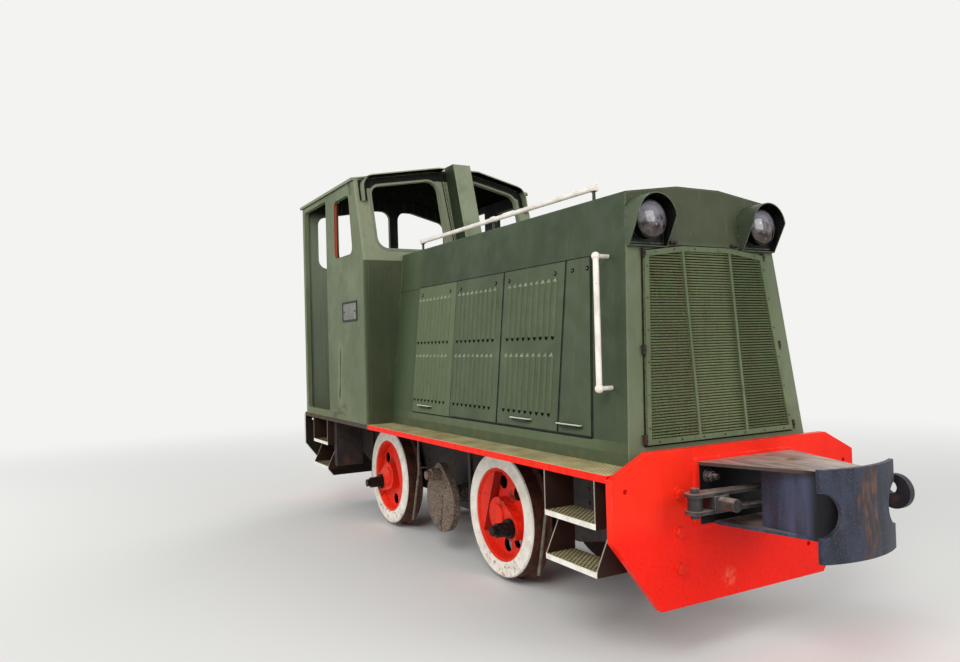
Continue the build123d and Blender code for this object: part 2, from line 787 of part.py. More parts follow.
def window_brows():
    """Projecting brows over the front windows, one on each side of the duct."""
    with BuildPart() as made:
        add(brow_strip(-1, duct_right - 40))
        add(brow_strip(1, duct_left + 2))
    finish(made.part, "window_brows")


def exhaust_duct():
    """Leaning square duct in front of the cab, open at the top."""
    low = crest_z + sheet
    with BuildPart() as made:
        with BuildSketch(long_section(duct_right)):
            with BuildLine():
                Polyline(*duct_outline(0, low, duct_top), close=True)
            make_face()
        extrude(amount=-(duct_left - duct_right))
        with BuildSketch(long_section(duct_right + duct_wall)):
            with BuildLine():
                Polyline(*duct_outline(duct_wall, low + 40, duct_top + 100), close=True)
            make_face()
        extrude(amount=-(duct_left - duct_right - 2 * duct_wall), mode=Mode.SUBTRACT)
    finish(made.part, "exhaust_duct")


def coupler_brackets():
    """Box of each coupler: top and bottom plates and the rounded nose plate between them."""
    with BuildPart() as made:
        for _, sign in ENDS:
            face = sign * (frame_half + pad_t)
            reach = nose_front + 6
            with BuildSketch(Plane.XY.offset(bracket_top - bracket_t)):
                with BuildLine():
                    Polyline(
                        (face, -bracket_half), (sign * (frame_half + reach), -bracket_tip_half),
                        (sign * (frame_half + reach), bracket_tip_half), (face, bracket_half), close=True)
                make_face()
            extrude(amount=bracket_t)
            with BuildSketch(Plane.XY.offset(bracket_low)):
                tip, root_half = sign * (frame_half + reach - 60), bracket_half * 0.7
                with BuildLine():
                    Polyline(
                        (face, -root_half), (tip, -bracket_tip_half), (tip, bracket_tip_half),
                        (face, root_half), close=True)
                make_face()
            extrude(amount=bracket_t)
            centre = sign * (frame_half + nose_front - nose_r)
            with BuildSketch(Plane.XY.offset(bracket_low + bracket_t)):
                with Locations((centre, 0)):
                    Circle(nose_r)
                with Locations(((centre + sign * (frame_half + nose_rear)) / 2, 0)):
                    Rectangle(nose_front - nose_r - nose_rear, 2 * nose_r)
                with Locations((centre, 0)):
                    Circle(nose_r - nose_t, mode=Mode.SUBTRACT)
                with Locations(((centre + sign * (frame_half + nose_rear)) / 2, 0)):
                    Rectangle(nose_front - nose_r - nose_rear, 2 * (nose_r - nose_t), mode=Mode.SUBTRACT)
            extrude(amount=bracket_top - bracket_low - 2 * bracket_t)
    finish(made.part, "coupler_brackets")


def buffers():
    """Curved buffer plates with a half-round notch in each edge."""
    with BuildPart() as made:
        for _, sign in ENDS:
            centre = frame_half + buffer_end + buffer_bulge - buffer_r
            with BuildSketch(Plane.XY.offset(buffer_low)):
                with Locations((sign * centre, 0)):
                    Circle(buffer_r)
                    Circle(buffer_r - buffer_t, mode=Mode.SUBTRACT)
                with Locations((sign * (frame_half + buffer_end + 100), 0)):
                    Rectangle(240, 2 * buffer_half, mode=Mode.INTERSECT)
            extrude(amount=buffer_high - buffer_low)
            with BuildSketch(cross_section(sign * (frame_half + buffer_end - 60))):
                with Locations((-buffer_half, coupler_z), (buffer_half, coupler_z)):
                    Circle(buffer_notch_r)
            extrude(amount=sign * 200, mode=Mode.SUBTRACT)
    finish(made.part, "buffers")


hook_y, hook_t = 322.0, 32.0
hook_bow, hook_bow_r, hook_throat_r = 568.0, 78.0, 28.0


def draw_hooks():
    """Forged draw hook beside each buffer, on the left as seen from the cab's own end."""
    with BuildPart() as made:
        for _, sign in ENDS:
            root, bow = sign * (frame_half + pad_t), sign * (frame_half + hook_bow)
            with BuildSketch(long_section(sign * (hook_y + hook_t / 2))) as outline:
                with Locations(((root + bow) / 2, 784)):
                    Rectangle(abs(bow - root), 48)
                with Locations((bow, 812)):
                    Circle(hook_bow_r)
                with Locations((bow - sign * 13, 829)):
                    Circle(hook_throat_r, mode=Mode.SUBTRACT)
                with Locations(Location((bow - sign * 50, 858, 0), (0, 0, -sign * 38))):
                    Rectangle(100, 44, mode=Mode.SUBTRACT)
            extrude(outline.sketch.faces().sort_by(SortBy.AREA)[-1], amount=sign * hook_t)
            with Locations((root + sign * 12, sign * hook_y, 784)):
                Box(24, 34, 90)
    finish(made.part, "draw_hooks")


link_root, link_x, link_y = 150.0, 120.0, -458.0
link_z, link_t = (738.0, 815.0), 16.0


def link_plate(root, tip, z):
    """A forged link plate with two round ends, lying flat."""
    with BuildPart(mode=Mode.PRIVATE) as plate:
        with BuildSketch(Plane.XY.offset(z - link_t / 2)) as outline:
            with Locations(root):
                Circle(30)
            with Locations(tip):
                Circle(46)
            make_hull()
        extrude(amount=link_t)
    return plate.part


def screw_couplings():
    """Screw coupling of each end, stowed sideways out of the coupler box: two link plates, pins and nut."""
    middle = (link_z[0] + link_z[1]) / 2
    gap = link_z[1] - link_z[0] - link_t
    with BuildPart() as made:
        for _, sign in ENDS:
            root = (sign * (frame_half + link_root), sign * 60)
            tip = (sign * (frame_half + link_x), sign * link_y)
            nut = (sign * (frame_half + link_x + 20), sign * (link_y + 110))
            for z in link_z:
                add(link_plate(root, tip, z))
            with Locations((*root, (bracket_low + bracket_top) / 2)):
                Cylinder(19, bracket_top - bracket_low - 2 * bracket_t)
            with Locations((*tip, middle)):
                Cylinder(20, gap + 2 * link_t + 44)
                Cylinder(34, gap)
            with Locations((*nut, middle)):
                Box(76, 90, gap)
            with Locations(Location((nut[0] + sign * 50, nut[1], middle), (0, 90, 0))):
                Cylinder(29, 150)
    finish(made.part, "screw_couplings")


def engine():
    """The engine, as one plain block on the frame."""
    with BuildPart() as made:
        with Locations((1000, 0, (frame_top + 1750) / 2)):
            Box(1700, 2 * frame_y - 10, 1750 - frame_top)
    finish(made.part, "engine")


def gearbox():
    """Housing of the jackshaft between the frame plates."""
    with BuildPart() as made:
        with Locations((jack_x, 0, 580)):
            Box(560, 2 * frame_y, 560)
        with BuildSketch(long_section(frame_y)):
            with Locations((jack_x, axle_z)):
                Circle(jack_r + bearing_gap)
        extrude(amount=2 * frame_y, mode=Mode.SUBTRACT)
    finish(made.part, "gearbox")


def axle_boxes():
    """Bearing blocks in the frame's guides."""
    with BuildPart() as made:
        for x in (front_axle_x, rear_axle_x):
            for sign in (-1, 1):
                with BuildSketch(long_section(sign * (frame_y + frame_t + 12))):
                    with Locations((x, axle_z + 20)):
                        Rectangle(230, 250)
                    with Locations((x, axle_z)):
                        Circle(axle_r + bearing_gap, mode=Mode.SUBTRACT)
                extrude(amount=sign * 80)
    finish(made.part, "axle_boxes")


def wheel_plane(x):
    """The vertical plane through an axle's centre line, with Y to its right."""
    return Plane(origin=(x, 0, axle_z), x_dir=(0, 1, 0), z_dir=(1, 0, 0))


rim_r, web_in, web_out, boss_out = 270.0, 385.0, 420.0, 488.0
hub_boss_r, pin_boss_r, weight_r = 112.0, 80.0, 274.0
hole_angles, hole_ring_r, hole_r = (-67, -29, 69, 121), 200.0, 44.0


def crank_point(angle, radius=crank_r):
    """A point on a wheel's face at an angle from the forward direction."""
    return (radius * math.cos(math.radians(angle)), radius * math.sin(math.radians(angle)))


def side_face(x, y):
    """A vertical plane beside the locomotive, centred on an axle."""
    return Plane(origin=(x, y, axle_z), x_dir=(1, 0, 0), z_dir=(0, -1, 0))


def counterweight(x, sign, angle):
    """Segment opposite a crank pin, with its straight edge bevelled."""
    chord, bevel, depth = -130.0, 34.0, 44.0
    with BuildPart(mode=Mode.PRIVATE) as weight:
        with BuildSketch(side_face(x, sign * web_out)):
            Circle(weight_r)
            with Locations(Location((0, 0, 0), (0, 0, angle))):
                with Locations((chord - weight_r / 2, 0)):
                    Rectangle(weight_r, 2 * weight_r, mode=Mode.INTERSECT)
        extrude(amount=-sign * depth)
        cos, sin = crank_point(angle, 1)
        with BuildSketch(Plane(origin=(x, 0, axle_z), x_dir=(cos, 0, sin), z_dir=(-sin, 0, cos))):
            with BuildLine():
                Polyline(
                    (chord + 1, sign * web_out), (chord + 1, sign * (web_out + depth + 1)),
                    (chord - bevel, sign * (web_out + depth + 1)), close=True)
            make_face()
        extrude(amount=2 * weight_r, both=True, mode=Mode.SUBTRACT)
    return weight.part


def crank_steps(foot):
    """Steps of a crank pin outward from its foot: start, end and radius."""
    shoulder = crank_end - crank_nut_t
    return (
        (foot, boss_out + crank_collar_t, crank_collar_r),
        (foot, shoulder, crank_pin_r),
        (shoulder - 5, crank_end, crank_nut_r),
    )


def wheelset(name, x, crank):
    """Axle, two recessed wheel centres with pear-shaped bosses, counterweights and crank pins."""
    axis = Axis((x, 0, axle_z), (0, 1, 0))
    with BuildPart() as made:
        with BuildSketch(wheel_plane(x)):
            with BuildLine():
                Polyline((-500, 0), (-500, axle_r), (500, axle_r), (500, 0), close=True)
            make_face()
        revolve(axis=axis)
        for sign, turn in ((-1, 0.0), (1, quarter)):
            profile = [
                (340, axle_r - 5), (340, 120), (web_in, 130), (web_in, rim_r - 12), (355, rim_r),
                (355, tyre_bore), (474, tyre_bore), (474, 284), (464, rim_r + 6), (web_out, rim_r - 12),
                (web_out, 110), (boss_out - 10, 104), (boss_out - 10, axle_r - 5),
            ]
            with BuildSketch(wheel_plane(x)):
                with BuildLine():
                    Polyline(*[(sign * y, r) for y, r in profile], close=True)
                make_face()
            revolve(axis=axis)
            angle = crank + turn
            pin = crank_point(angle)
            with BuildSketch(side_face(x, sign * web_out)):
                Circle(hub_boss_r)
                with Locations(pin):
                    Circle(pin_boss_r)
                make_hull()
            extrude(amount=-sign * (boss_out - web_out))
            add(counterweight(x, sign, angle))
            for foot, end, radius in crank_steps(web_out):
                with BuildSketch(side_face(x, sign * foot)):
                    with Locations(pin):
                        Circle(radius)
                extrude(amount=-sign * (end - foot))
            with BuildSketch(side_face(x, sign * (web_in - 5))):
                with Locations(*[crank_point(angle + offset, hole_ring_r) for offset in hole_angles]):
                    Circle(hole_r)
            extrude(amount=-sign * (web_out - web_in + 10), mode=Mode.SUBTRACT)
    finish(made.part, f"{name}_wheelset")


def tyres(name, x):
    """Steel tyres with their flanges, shrunk on the wheel centres."""
    axis = Axis((x, 0, axle_z), (0, 1, 0))
    with BuildPart() as made:
        for sign in (-1, 1):
            flange_top, throat = tread_r + flange_h, tyre_back + flange_t
            profile = [
                (tyre_back, tyre_bore), (tyre_back, flange_top - 8), (tyre_back + 10, flange_top),
                (throat - 8, flange_top - 6), (throat + 6, tread_r + 2), (tyre_face - 8, tread_r - 5),
                (tyre_face, tread_r - 12), (tyre_face, tyre_bore),
            ]
            with BuildSketch(wheel_plane(x)):
                with BuildLine():
                    Polyline(*[(sign * y, r) for y, r in profile], close=True)
                make_face()
            revolve(axis=axis)
    finish(made.part, f"{name}_tyres")


def jackshaft():
    """Cross shaft with a crank web, a hanging counterweight and a crank pin at each end."""
    arm_in, arm_out, lobe_r, lobe_hang = 470.0, 520.0, 222.0, 34.0
    with BuildPart() as made:
        with BuildSketch(long_section(arm_in)):
            with Locations((jack_x, axle_z)):
                Circle(jack_r)
        extrude(amount=2 * arm_in)
        for sign, turn in ((-1, 0.0), (1, quarter)):
            angle = jack_crank + turn
            pin = crank_point(angle)
            with BuildSketch(side_face(jack_x, sign * arm_in)):
                with Locations(crank_point(angle + 180, lobe_hang)):
                    Circle(lobe_r)
                with Locations(pin):
                    Circle(pin_boss_r)
                make_hull()
            extrude(amount=-sign * (arm_out - arm_in))
            for foot, end, radius in crank_steps(arm_in):
                with BuildSketch(side_face(jack_x, sign * foot)):
                    with Locations(pin):
                        Circle(radius)
                extrude(amount=-sign * (end - foot))
    finish(made.part, "jackshaft")


spring_y, spring_w, spring_half, leaf_t, leaves = 264.0, 50.0, 360.0, 12.0, 5
spring_top = 735.0


def leaf_springs():
    """Leaf springs over the axle boxes, inside the frame, each held by a pin at both ends."""
    box_top = axle_z + 145
    rise = 60.0
    with BuildPart() as made:
        for x in (front_axle_x, rear_axle_x):
            for sign in (-1, 1):
                with BuildSketch(long_section(sign * (spring_y + spring_w / 2))):
                    for n in range(leaves):
                        half = spring_half * (1 - 0.16 * n)
                        middle = spring_top - rise - n * leaf_t
                        end = middle + rise * (half / spring_half) ** 2
                        with BuildLine():
                            upper = ThreePointArc((x - half, end), (x, middle), (x + half, end))
                            right = Line(upper @ 1, (x + half, end - leaf_t))
                            lower = ThreePointArc(right @ 1, (x, middle - leaf_t), (x - half, end - leaf_t))
                            Line(lower @ 1, upper @ 0)
                        make_face()
                    with Locations((x, (box_top + spring_top - rise + 6) / 2)):
                        Rectangle(84, spring_top - rise + 6 - box_top)
                extrude(amount=sign * spring_w)
                for end in (-1, 1):
                    with BuildSketch(long_section(sign * frame_y)):
                        with Locations((x + end * (spring_half - 10), spring_top - 8)):
                            Circle(19)
                    extrude(amount=sign * (frame_y - spring_y + spring_w / 2))
    finish(made.part, "leaf_springs")


brake_y, shoe_gap, shoe_t, shoe_angle = 428.0, 8.0, 46.0, 17.0


def brake_gear():
    """A brake shoe behind each wheel, on a hanger from a pin in the frame plate."""
    inner = tread_r + shoe_gap
    outer = inner + shoe_t
    pin_z = 800.0
    with BuildPart() as made:
        for x in (front_axle_x, rear_axle_x):
            low, high = 180 + shoe_angle, 180 - shoe_angle
            hanger_x = x - outer - 14
            for sign in (-1, 1):
                with BuildSketch(side_face(x, sign * (brake_y + 32))):
                    with BuildLine():
                        arc = RadiusArc(crank_point(low, inner), crank_point(high, inner), inner)
                        top = Line(arc @ 1, crank_point(high, outer))
                        back = RadiusArc(top @ 1, crank_point(low, outer), -outer)
                        Line(back @ 1, arc @ 0)
                    make_face()
                extrude(amount=sign * 64)
                with Locations((hanger_x, sign * brake_y, (axle_z + pin_z) / 2)):
                    Box(32, 22, pin_z - axle_z + 50)
                with BuildSketch(long_section(sign * (brake_y + 22))):
                    with Locations((hanger_x, pin_z)):
                        Circle(21)
                extrude(amount=sign * (brake_y + 22 - frame_y - frame_t))
    finish(made.part, "brake_gear")


pipe_r, pipe_y = 10.0, 415.0


def sand_pipes():
    """Sand pipes from under the deck to the rail ahead of each wheel, on a bracket from the frame plate."""
    with BuildPart() as made:
        for x, knee in ((front_axle_x, 432.0), (rear_axle_x, 470.0)):
            for sign in (-1, 1):
                y = sign * pipe_y
                top = Vector(x + knee + 14, y, deck_z - deck_t)
                bend = Vector(x + knee + 14, y, 520)
                foot = Vector(x + 345, y, 110)
                add(rod(top, bend, pipe_r))
                add(rod(bend, foot, pipe_r))
                with Locations(bend):
                    Sphere(15)
                with Locations((bend.X, sign * (frame_y + frame_t + pipe_y) / 2, 545)):
                    Box(24, pipe_y - frame_y - frame_t, 8)
    finish(made.part, "sand_pipes")


def under_floor_boxes():
    """A plain sheet box under each side of the cab, between the steps and the rear wheels."""
    rear, front, low, inner, outer = -1615.0, -1545.0, 480.0, 540.0, 780.0
    with BuildPart() as made:
        for sign in (-1, 1):
            with Locations(((rear + front) / 2, sign * (inner + outer) / 2, (low + deck_z - deck_edge) / 2)):
                Box(front - rear, outer - inner, deck_z - deck_edge - low)
    finish(made.part, "under_floor_boxes")


def control_desk():
    """Sloping desk against the cab's front wall, with the instrument board above it."""
    back = cab_front_x - wall_t
    outline = [
        (back, deck_z), (back, 1900), (back - 60, 1900), (back - 90, 1660), (back - 330, 1600),
        (back - 330, 1540), (back - 240, 1500), (back - 240, deck_z),
    ]
    with BuildPart() as made:
        with BuildSketch(long_section(420)):
            with BuildLine():
                Polyline(*outline, close=True)
            make_face()
        extrude(amount=840)
    finish(made.part, "control_desk")


def hand_brake():
    """Hand brake column with its wheel, at the cab's rear wall."""
    x, y, top = cab_rear_x + 320, 560.0, 1720.0
    with BuildPart() as made:
        with Locations((x, y, (deck_z + 12 + top) / 2)):
            Cylinder(24, top - deck_z - 12)
        with Locations((x, y, deck_z + 6)):
            Box(150, 150, 12)
        with BuildSketch(Plane(origin=(x, y, top), x_dir=(1, 0, 0), z_dir=(0, -1, 0))):
            with Locations((150, 0)):
                Circle(12)
        revolve(axis=Axis((x, y, top), (0, 0, 1)))
        with Locations((x, y, top)):
            Cylinder(34, 30)
        with Locations((x, y, top)):
            with PolarLocations(0, 3):
                with Locations(Location((75, 0, 0), (0, 90, 0))):
                    Cylinder(9, 150)
    finish(made.part, "hand_brake")


def build():
    """Makes and writes every piece."""
    for end, sign in ENDS:
        end_plate(end, sign)
    main_frame()
    running_boards()
    cab_floor()
    for name, rear, front in step_places:
        steps(name, rear, front)
    for side, sign in SIDES:
        hood_side(side, sign)
        cab_side(side, sign)
        for cover in covers:
            side_cover(side, sign, cover)
    hood_roof()
    hood_front()
    grille()
    headlamps()
    headlamp_lenses()
    handrails()
    cab_front()
    cab_rear()
    cab_roof()
    window_brows()
    exhaust_duct()
    coupler_brackets()
    buffers()
    draw_hooks()
    screw_couplings()
    engine()
    gearbox()
    axle_boxes()
    wheelset("front", front_axle_x, front_crank)
    wheelset("rear", rear_axle_x, rear_crank)
    tyres("front", front_axle_x)
    tyres("rear", rear_axle_x)
    jackshaft()
    leaf_springs()
    brake_gear()
    sand_pipes()
    under_floor_boxes()
    control_desk()
    hand_brake()


build()
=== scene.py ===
# %% [markdown]
# # A narrow-gauge diesel shunting locomotive
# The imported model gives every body, node and joint in metres, with +X to the front and +Z up.
# This lesson adds what the model leaves to Blender: paint, rust, tread plate, bolts and trim.

# %% Load the fixed frame
import math
import random

import bmesh
import bpy
from mathutils import Matrix, Vector


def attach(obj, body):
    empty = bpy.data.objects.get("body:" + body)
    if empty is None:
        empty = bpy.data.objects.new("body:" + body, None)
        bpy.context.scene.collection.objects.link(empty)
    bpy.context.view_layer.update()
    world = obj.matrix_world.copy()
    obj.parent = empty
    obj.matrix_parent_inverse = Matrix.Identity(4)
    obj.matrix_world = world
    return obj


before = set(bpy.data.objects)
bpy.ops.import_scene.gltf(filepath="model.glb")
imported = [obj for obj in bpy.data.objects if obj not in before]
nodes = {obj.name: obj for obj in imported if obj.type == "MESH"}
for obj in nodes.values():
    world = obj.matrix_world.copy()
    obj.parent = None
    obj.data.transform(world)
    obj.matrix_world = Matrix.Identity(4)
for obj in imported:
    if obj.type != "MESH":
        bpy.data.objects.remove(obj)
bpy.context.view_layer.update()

# %% [markdown]
# ## The camera
# The picture was taken from beside the front right corner, about as high as a person's eyes.
# A camera is a position, a lens and three axes, so its matrix is built from those axes: right,
# up and backwards. That is exact, where aiming by a target would lose the small roll.

# %% Set the camera
camera_at = Vector((5.0162, -2.9693, 1.5130))
camera_yaw, camera_pitch, camera_roll = (math.radians(a) for a in (60.7346, 1.112, -1.5653))
lens_mm, sensor_mm = 28.615, 36.0
ahead = Vector((
    -math.sin(camera_yaw) * math.cos(camera_pitch),
    math.cos(camera_yaw) * math.cos(camera_pitch),
    math.sin(camera_pitch),
))
level = Vector((math.cos(camera_yaw), math.sin(camera_yaw), 0))
above = level.cross(ahead)
right = math.cos(camera_roll) * level + math.sin(camera_roll) * above
up = -math.sin(camera_roll) * level + math.cos(camera_roll) * above
camera_data = bpy.data.cameras.new("camera")
camera_data.lens, camera_data.sensor_width, camera_data.clip_end = lens_mm, sensor_mm, 200
camera = bpy.data.objects.new("camera", camera_data)
camera.matrix_world = Matrix.Translation(camera_at) @ Matrix((right, up, -ahead)).transposed().to_4x4()
bpy.context.scene.collection.objects.link(camera)
bpy.context.scene.camera = camera
bpy.context.scene.view_settings.view_transform = "Standard"
print("camera", tuple(camera_at), "lens", lens_mm)

# %% [markdown]
# ## Values inside a material
# A material is a small graph of nodes. Here a value in it can be added and multiplied like a
# number: each sign adds the node that does the sum, so a mask of dirt reads as a formula. Paint is
# written as a hex colour, as on a colour card, and the sockets want linear light.

# %% Values and colours
def linear(hex_colour):
    """The linear colour of an sRGB hex value."""
    parts = [int(hex_colour[i:i + 2], 16) / 255 for i in (1, 3, 5)]
    return tuple(p / 12.92 if p <= 0.04045 else ((p + 0.055) / 1.055) ** 2.4 for p in parts) + (1.0,)


class Value:
    """A number, vector or colour in a material. Masks join by * where both and by | where either."""

    def __init__(self, socket):
        self.socket = socket
        self.tree = socket.id_data

    def math(self, operation, *others):
        return add(self.tree, "Math", dict(enumerate((self, *others))), operation=operation)

    def __add__(self, other):
        return self.math("ADD", other)

    def __sub__(self, other):
        return self.math("SUBTRACT", other)

    def __rsub__(self, other):
        return add(self.tree, "Math", {0: other, 1: self}, operation="SUBTRACT")

    def __mul__(self, other):
        return self.math("MULTIPLY", other)

    def __or__(self, other):
        return self.math("MAXIMUM", other)

    def __abs__(self):
        return self.math("ABSOLUTE")

    def ramp(self, low, high, most=1.0, least=0.0):
        """A smooth mask that goes from least, where the value is low, to most, where it is high."""
        return add(self.tree, "MapRange", {
            "Value": self, "From Min": low, "From Max": high, "To Min": least, "To Max": most,
        }, interpolation_type="SMOOTHSTEP")

    def band(self, start, full, fade, end):
        """A mask that rises and falls again."""
        return self.ramp(start, full) * self.ramp(fade, end)


def shown(sockets, name=None):
    """The first socket in use, or the one in use with a name."""
    return next(s for s in sockets if s.enabled and (name is None or s.name == name))


def add(tree, kind, inputs=(), output=None, **settings):
    """Adds a node and gives its output. An input is a constant or another value."""
    made = tree.nodes.new("ShaderNode" + kind)
    for name, value in settings.items():
        setattr(made, name, value)
    for name, value in dict(inputs).items():
        socket = made.inputs[name] if isinstance(name, int) else shown(made.inputs, name)
        if isinstance(value, Value):
            tree.links.new(value.socket, socket)
        else:
            socket.default_value = linear(value) if isinstance(value, str) else value
    return Value(shown(made.outputs, output))


def axes(vector):
    """The parts of a vector along X, Y and Z."""
    return [Value(out) for out in add(vector.tree, "SeparateXYZ", {0: vector}).socket.node.outputs]


def blend(mask, under, over):
    """Lays one colour over another where the mask is 1."""
    return add(mask.tree, "Mix", {"Factor": mask, "A": under, "B": over}, data_type="RGBA")


print("red enamel is", linear("#E5281C"))

# %% [markdown]
# ## A surface
# Every finish starts from the same things: where a point lies on the object, which way it faces,
# and soft random grain whose size is a real size in millimetres.

# %% Surface
class Surface:
    """A new material, with each point's place in metres (x, y, z) and the way it faces."""

    def __init__(self, name, rough=0.5, metal=0.0, specular=0.3):
        self.material = bpy.data.materials.new(name)
        self.material.use_nodes = True
        self.tree = self.material.node_tree
        self.shader = next(n for n in self.tree.nodes if n.type == "BSDF_PRINCIPLED")
        for socket, value in (("Roughness", rough), ("Metallic", metal), ("Specular IOR Level", specular)):
            self.shader.inputs[socket].default_value = value
        self.place = add(self.tree, "TexCoord", output="Object")
        self.normal = add(self.tree, "NewGeometry", output="Normal")
        self.x, self.y, self.z = axes(self.place)
        self.ahead, self.aside, self.upward = axes(self.normal)

    def vector(self, operation, one, other, output="Vector"):
        return add(self.tree, "VectorMath", {0: one, 1: other}, output, operation=operation)

    def grain(self, size_mm, detail=2.0, stretch=(1, 1, 1)):
        """Soft random variation from 0 to 1, with features of a size in millimetres."""
        spaced = self.vector("MULTIPLY", self.place, tuple(1 / s for s in stretch))
        return add(self.tree, "TexNoise", {"Vector": spaced, "Scale": 1000 / size_mm, "Detail": detail})

    def patches(self, size_mm, detail, low, high, most=1.0, least=0.0, stretch=(1, 1, 1)):
        """A mask of soft patches."""
        return self.grain(size_mm, detail, stretch).ramp(low, high, most, least)

    def bumps(self, size_mm, detail, high_mm, strength, under=None):
        """A normal for grain that stands up by some millimetres, on top of another normal."""
        inputs = {"Height": self.grain(size_mm, detail), "Distance": high_mm / 1000, "Strength": strength}
        return add(self.tree, "Bump", inputs | ({"Normal": under} if under else {}))

    def edges(self, radius_mm):
        """The rounded normal of each edge, and a mask that is 1 on the edge itself."""
        rounded = add(self.tree, "Bevel", {"Radius": radius_mm / 1000}, samples=4)
        turn = self.vector("DOT_PRODUCT", rounded, self.normal, "Value")
        return rounded, turn.ramp(0.995, 0.9)

    def away(self, point, kept=(1, 0, 1)):
        """The distance from a point, along the axes that are kept."""
        return self.vector("DISTANCE", self.vector("MULTIPLY", self.place, kept), point, "Value")

    def finish(self, **sources):
        """Links values to the shader's sockets, with _ for the spaces in their names."""
        for name, source in sources.items():
            self.tree.links.new(source.socket, self.shader.inputs[name.replace("_", " ")])
        return self.material


# %% [markdown]
# ## Floor and light
# A studio stands for the yard: a pale floor and large soft lamps. The world gives a plain even
# light. What the camera, glass and metal see of it is painted nearly white, and the floor fades to
# the same white far from the locomotive, so the background is pale with no lamp made brighter.

# %% Floor, world and lamps
backdrop_white, floor_half = "#F3F3F1", 60
floor_mesh = bpy.data.meshes.new("floor")
floor_corners = [(a * floor_half, b * floor_half, 0) for a, b in ((-1, -1), (1, -1), (1, 1), (-1, 1))]
floor_mesh.from_pydata(floor_corners, [], [(0, 1, 2, 3)])
floor = bpy.data.objects.new("floor", floor_mesh)
bpy.context.scene.collection.objects.link(floor)
skin = Surface("pale_studio_floor", rough=0.9, specular=0.1)
skin.shader.inputs["Base Color"].default_value = linear("#E9E8E4")
far = add(skin.tree, "VectorMath", {0: skin.place}, "Value", operation="LENGTH").ramp(3.5, 11.0)
seen = add(skin.tree, "LightPath", output="Is Camera Ray")
glow = add(skin.tree, "Emission", {"Color": backdrop_white, "Strength": 1.0})
faded = add(skin.tree, "MixShader", {0: far * seen, 1: Value(skin.shader.outputs[0]), 2: glow})
output = next(n for n in skin.tree.nodes if n.type == "OUTPUT_MATERIAL")
skin.tree.links.new(faded.socket, output.inputs["Surface"])
floor_mesh.materials.append(skin.material)

world = bpy.data.worlds.new("studio")
bpy.context.scene.world = world
world.use_nodes = True
tree = world.node_tree
tree.nodes.clear()
rays = [add(tree, "LightPath", output=f"Is {kind} Ray") for kind in ("Camera", "Glossy", "Transmission")]
plain = add(tree, "Background", {"Color": "#F2F4F7", "Strength": 0.55})
white = add(tree, "Background", {"Color": backdrop_white, "Strength": 1.0})
mixed = add(tree, "MixShader", {0: rays[0] | rays[1] | rays[2], 1: plain, 2: white})
tree.links.new(mixed.socket, tree.nodes.new("ShaderNodeOutputWorld").inputs["Surface"])

lamps = (
    # name, position, size, watts
    ("key", (6.0, -6.5, 7.0), 4.5, 440),
    ("front", (9.0, 3.0, 4.0), 4.0, 230),
    ("fill", (-4.5, -7.0, 4.0), 5.0, 180),
    ("back", (-6.0, 6.0, 6.0), 5.0, 220),
)
for name, at, size, watts in lamps:
    data = bpy.data.lights.new(name, "AREA")
    data.size, data.energy = size, watts
    lamp = bpy.data.objects.new(name, data)
    lamp.location = at
    lamp.rotation_euler = (Vector((0, 0, 1.3)) - lamp.location).to_track_quat("-Z", "Y").to_euler()
    bpy.context.scene.collection.objects.link(lamp)
print("lamps", [row[0] for row in lamps])

# %% [markdown]
# ## Olive enamel
# The body is pressed and welded steel sheet, brushed with olive enamel that has gone chalky. What
# the eye gets is broad patches of faded colour, thin runs down the walls where rain has washed
# dust, small specks, and paler worn edges. Noise in several sizes gives those, and a rounded
# normal catches light along each edge as a real folded edge does.

# %% Olive enamel
def enamel(name, base, faded, dark, edge, rough=0.55, foot=None, streak=0.2, rim_mm=4, change=None):
    """Weathered enamel on steel sheet. It gathers dust below foot, and change lays on more tones."""
    skin = Surface("olive_enamel_" + name, specular=0.18)
    tone = blend(skin.patches(520, 3, 0.34, 0.66), base, faded)
    tone = blend(skin.patches(1300, 1, 0.56, 0.40, 0.45), tone, dark)
    tone = blend(skin.patches(130, 4, 0.50, 0.72, 0.35), tone, dark)
    if change:
        tone = change(skin, tone)
    # Runs, washed streaks, specks and chips
    tone = blend(skin.patches(14, 2, 0.50, 0.74, streak, 0, (1, 1, 34)), tone, dark)
    tone = blend(skin.patches(22, 2, 0.58, 0.84, streak * 0.5, 0, (1, 1, 26)), tone, edge)
    tone = blend(skin.patches(8, 1, 0.73, 0.77, 0.6), tone, dark)
    tone = blend(skin.patches(11, 2, 0.26, 0.23, 0.55), tone, edge)
    rounded, rim = skin.edges(rim_mm)
    tone = blend(rim * skin.patches(60, 3, 0.3, 0.6, 0.7, 0.2), tone, edge)
    if foot:
        muddy = skin.z.ramp(foot + 0.13, foot) * skin.patches(70, 4, 0.35, 0.7, 0.4, 0.1)
        tone = blend(muddy, tone, "#6E6A44")
    gloss = skin.patches(150, 3, 0.3, 0.7, rough + 0.12, rough - 0.08)
    # Faces that look down hold dust and soot, so they have no sheen
    sheen = skin.upward.ramp(-0.3, -0.7, 0.0, 0.18)
    dents = skin.bumps(320, 1, 4, 0.22, skin.bumps(7, 3, 0.5, 0.35, rounded))
    return skin.finish(Base_Color=tone, Roughness=gloss, Specular_IOR_Level=sheen, Normal=dents)


print("sheen falls to 0 on faces that look down")

# %% [markdown]
# ## Where the olive changes
# A painted wall isn't one colour. Some tones below are grime and rust, others are painted shade:
# dark under a roof, darker below a crease, and black inside a lamp or the cab. Each function below
# lays such tones on one kind of piece, by height, place and direction.

# %% Tones of the cab
crown_z, crown_drop, crown_right, crown_left = 3.042, 0.140, -0.075, 0.310
right_run, left_run = 0.775, 0.540
# shade_black is the near-black of painted shade in the cab, under the covers and in the louvre mouths, and
# the black of the screw washers
belt_fade, pale_wall, shade_black = (2.210, 2.218), "#878D72", "#12130F"


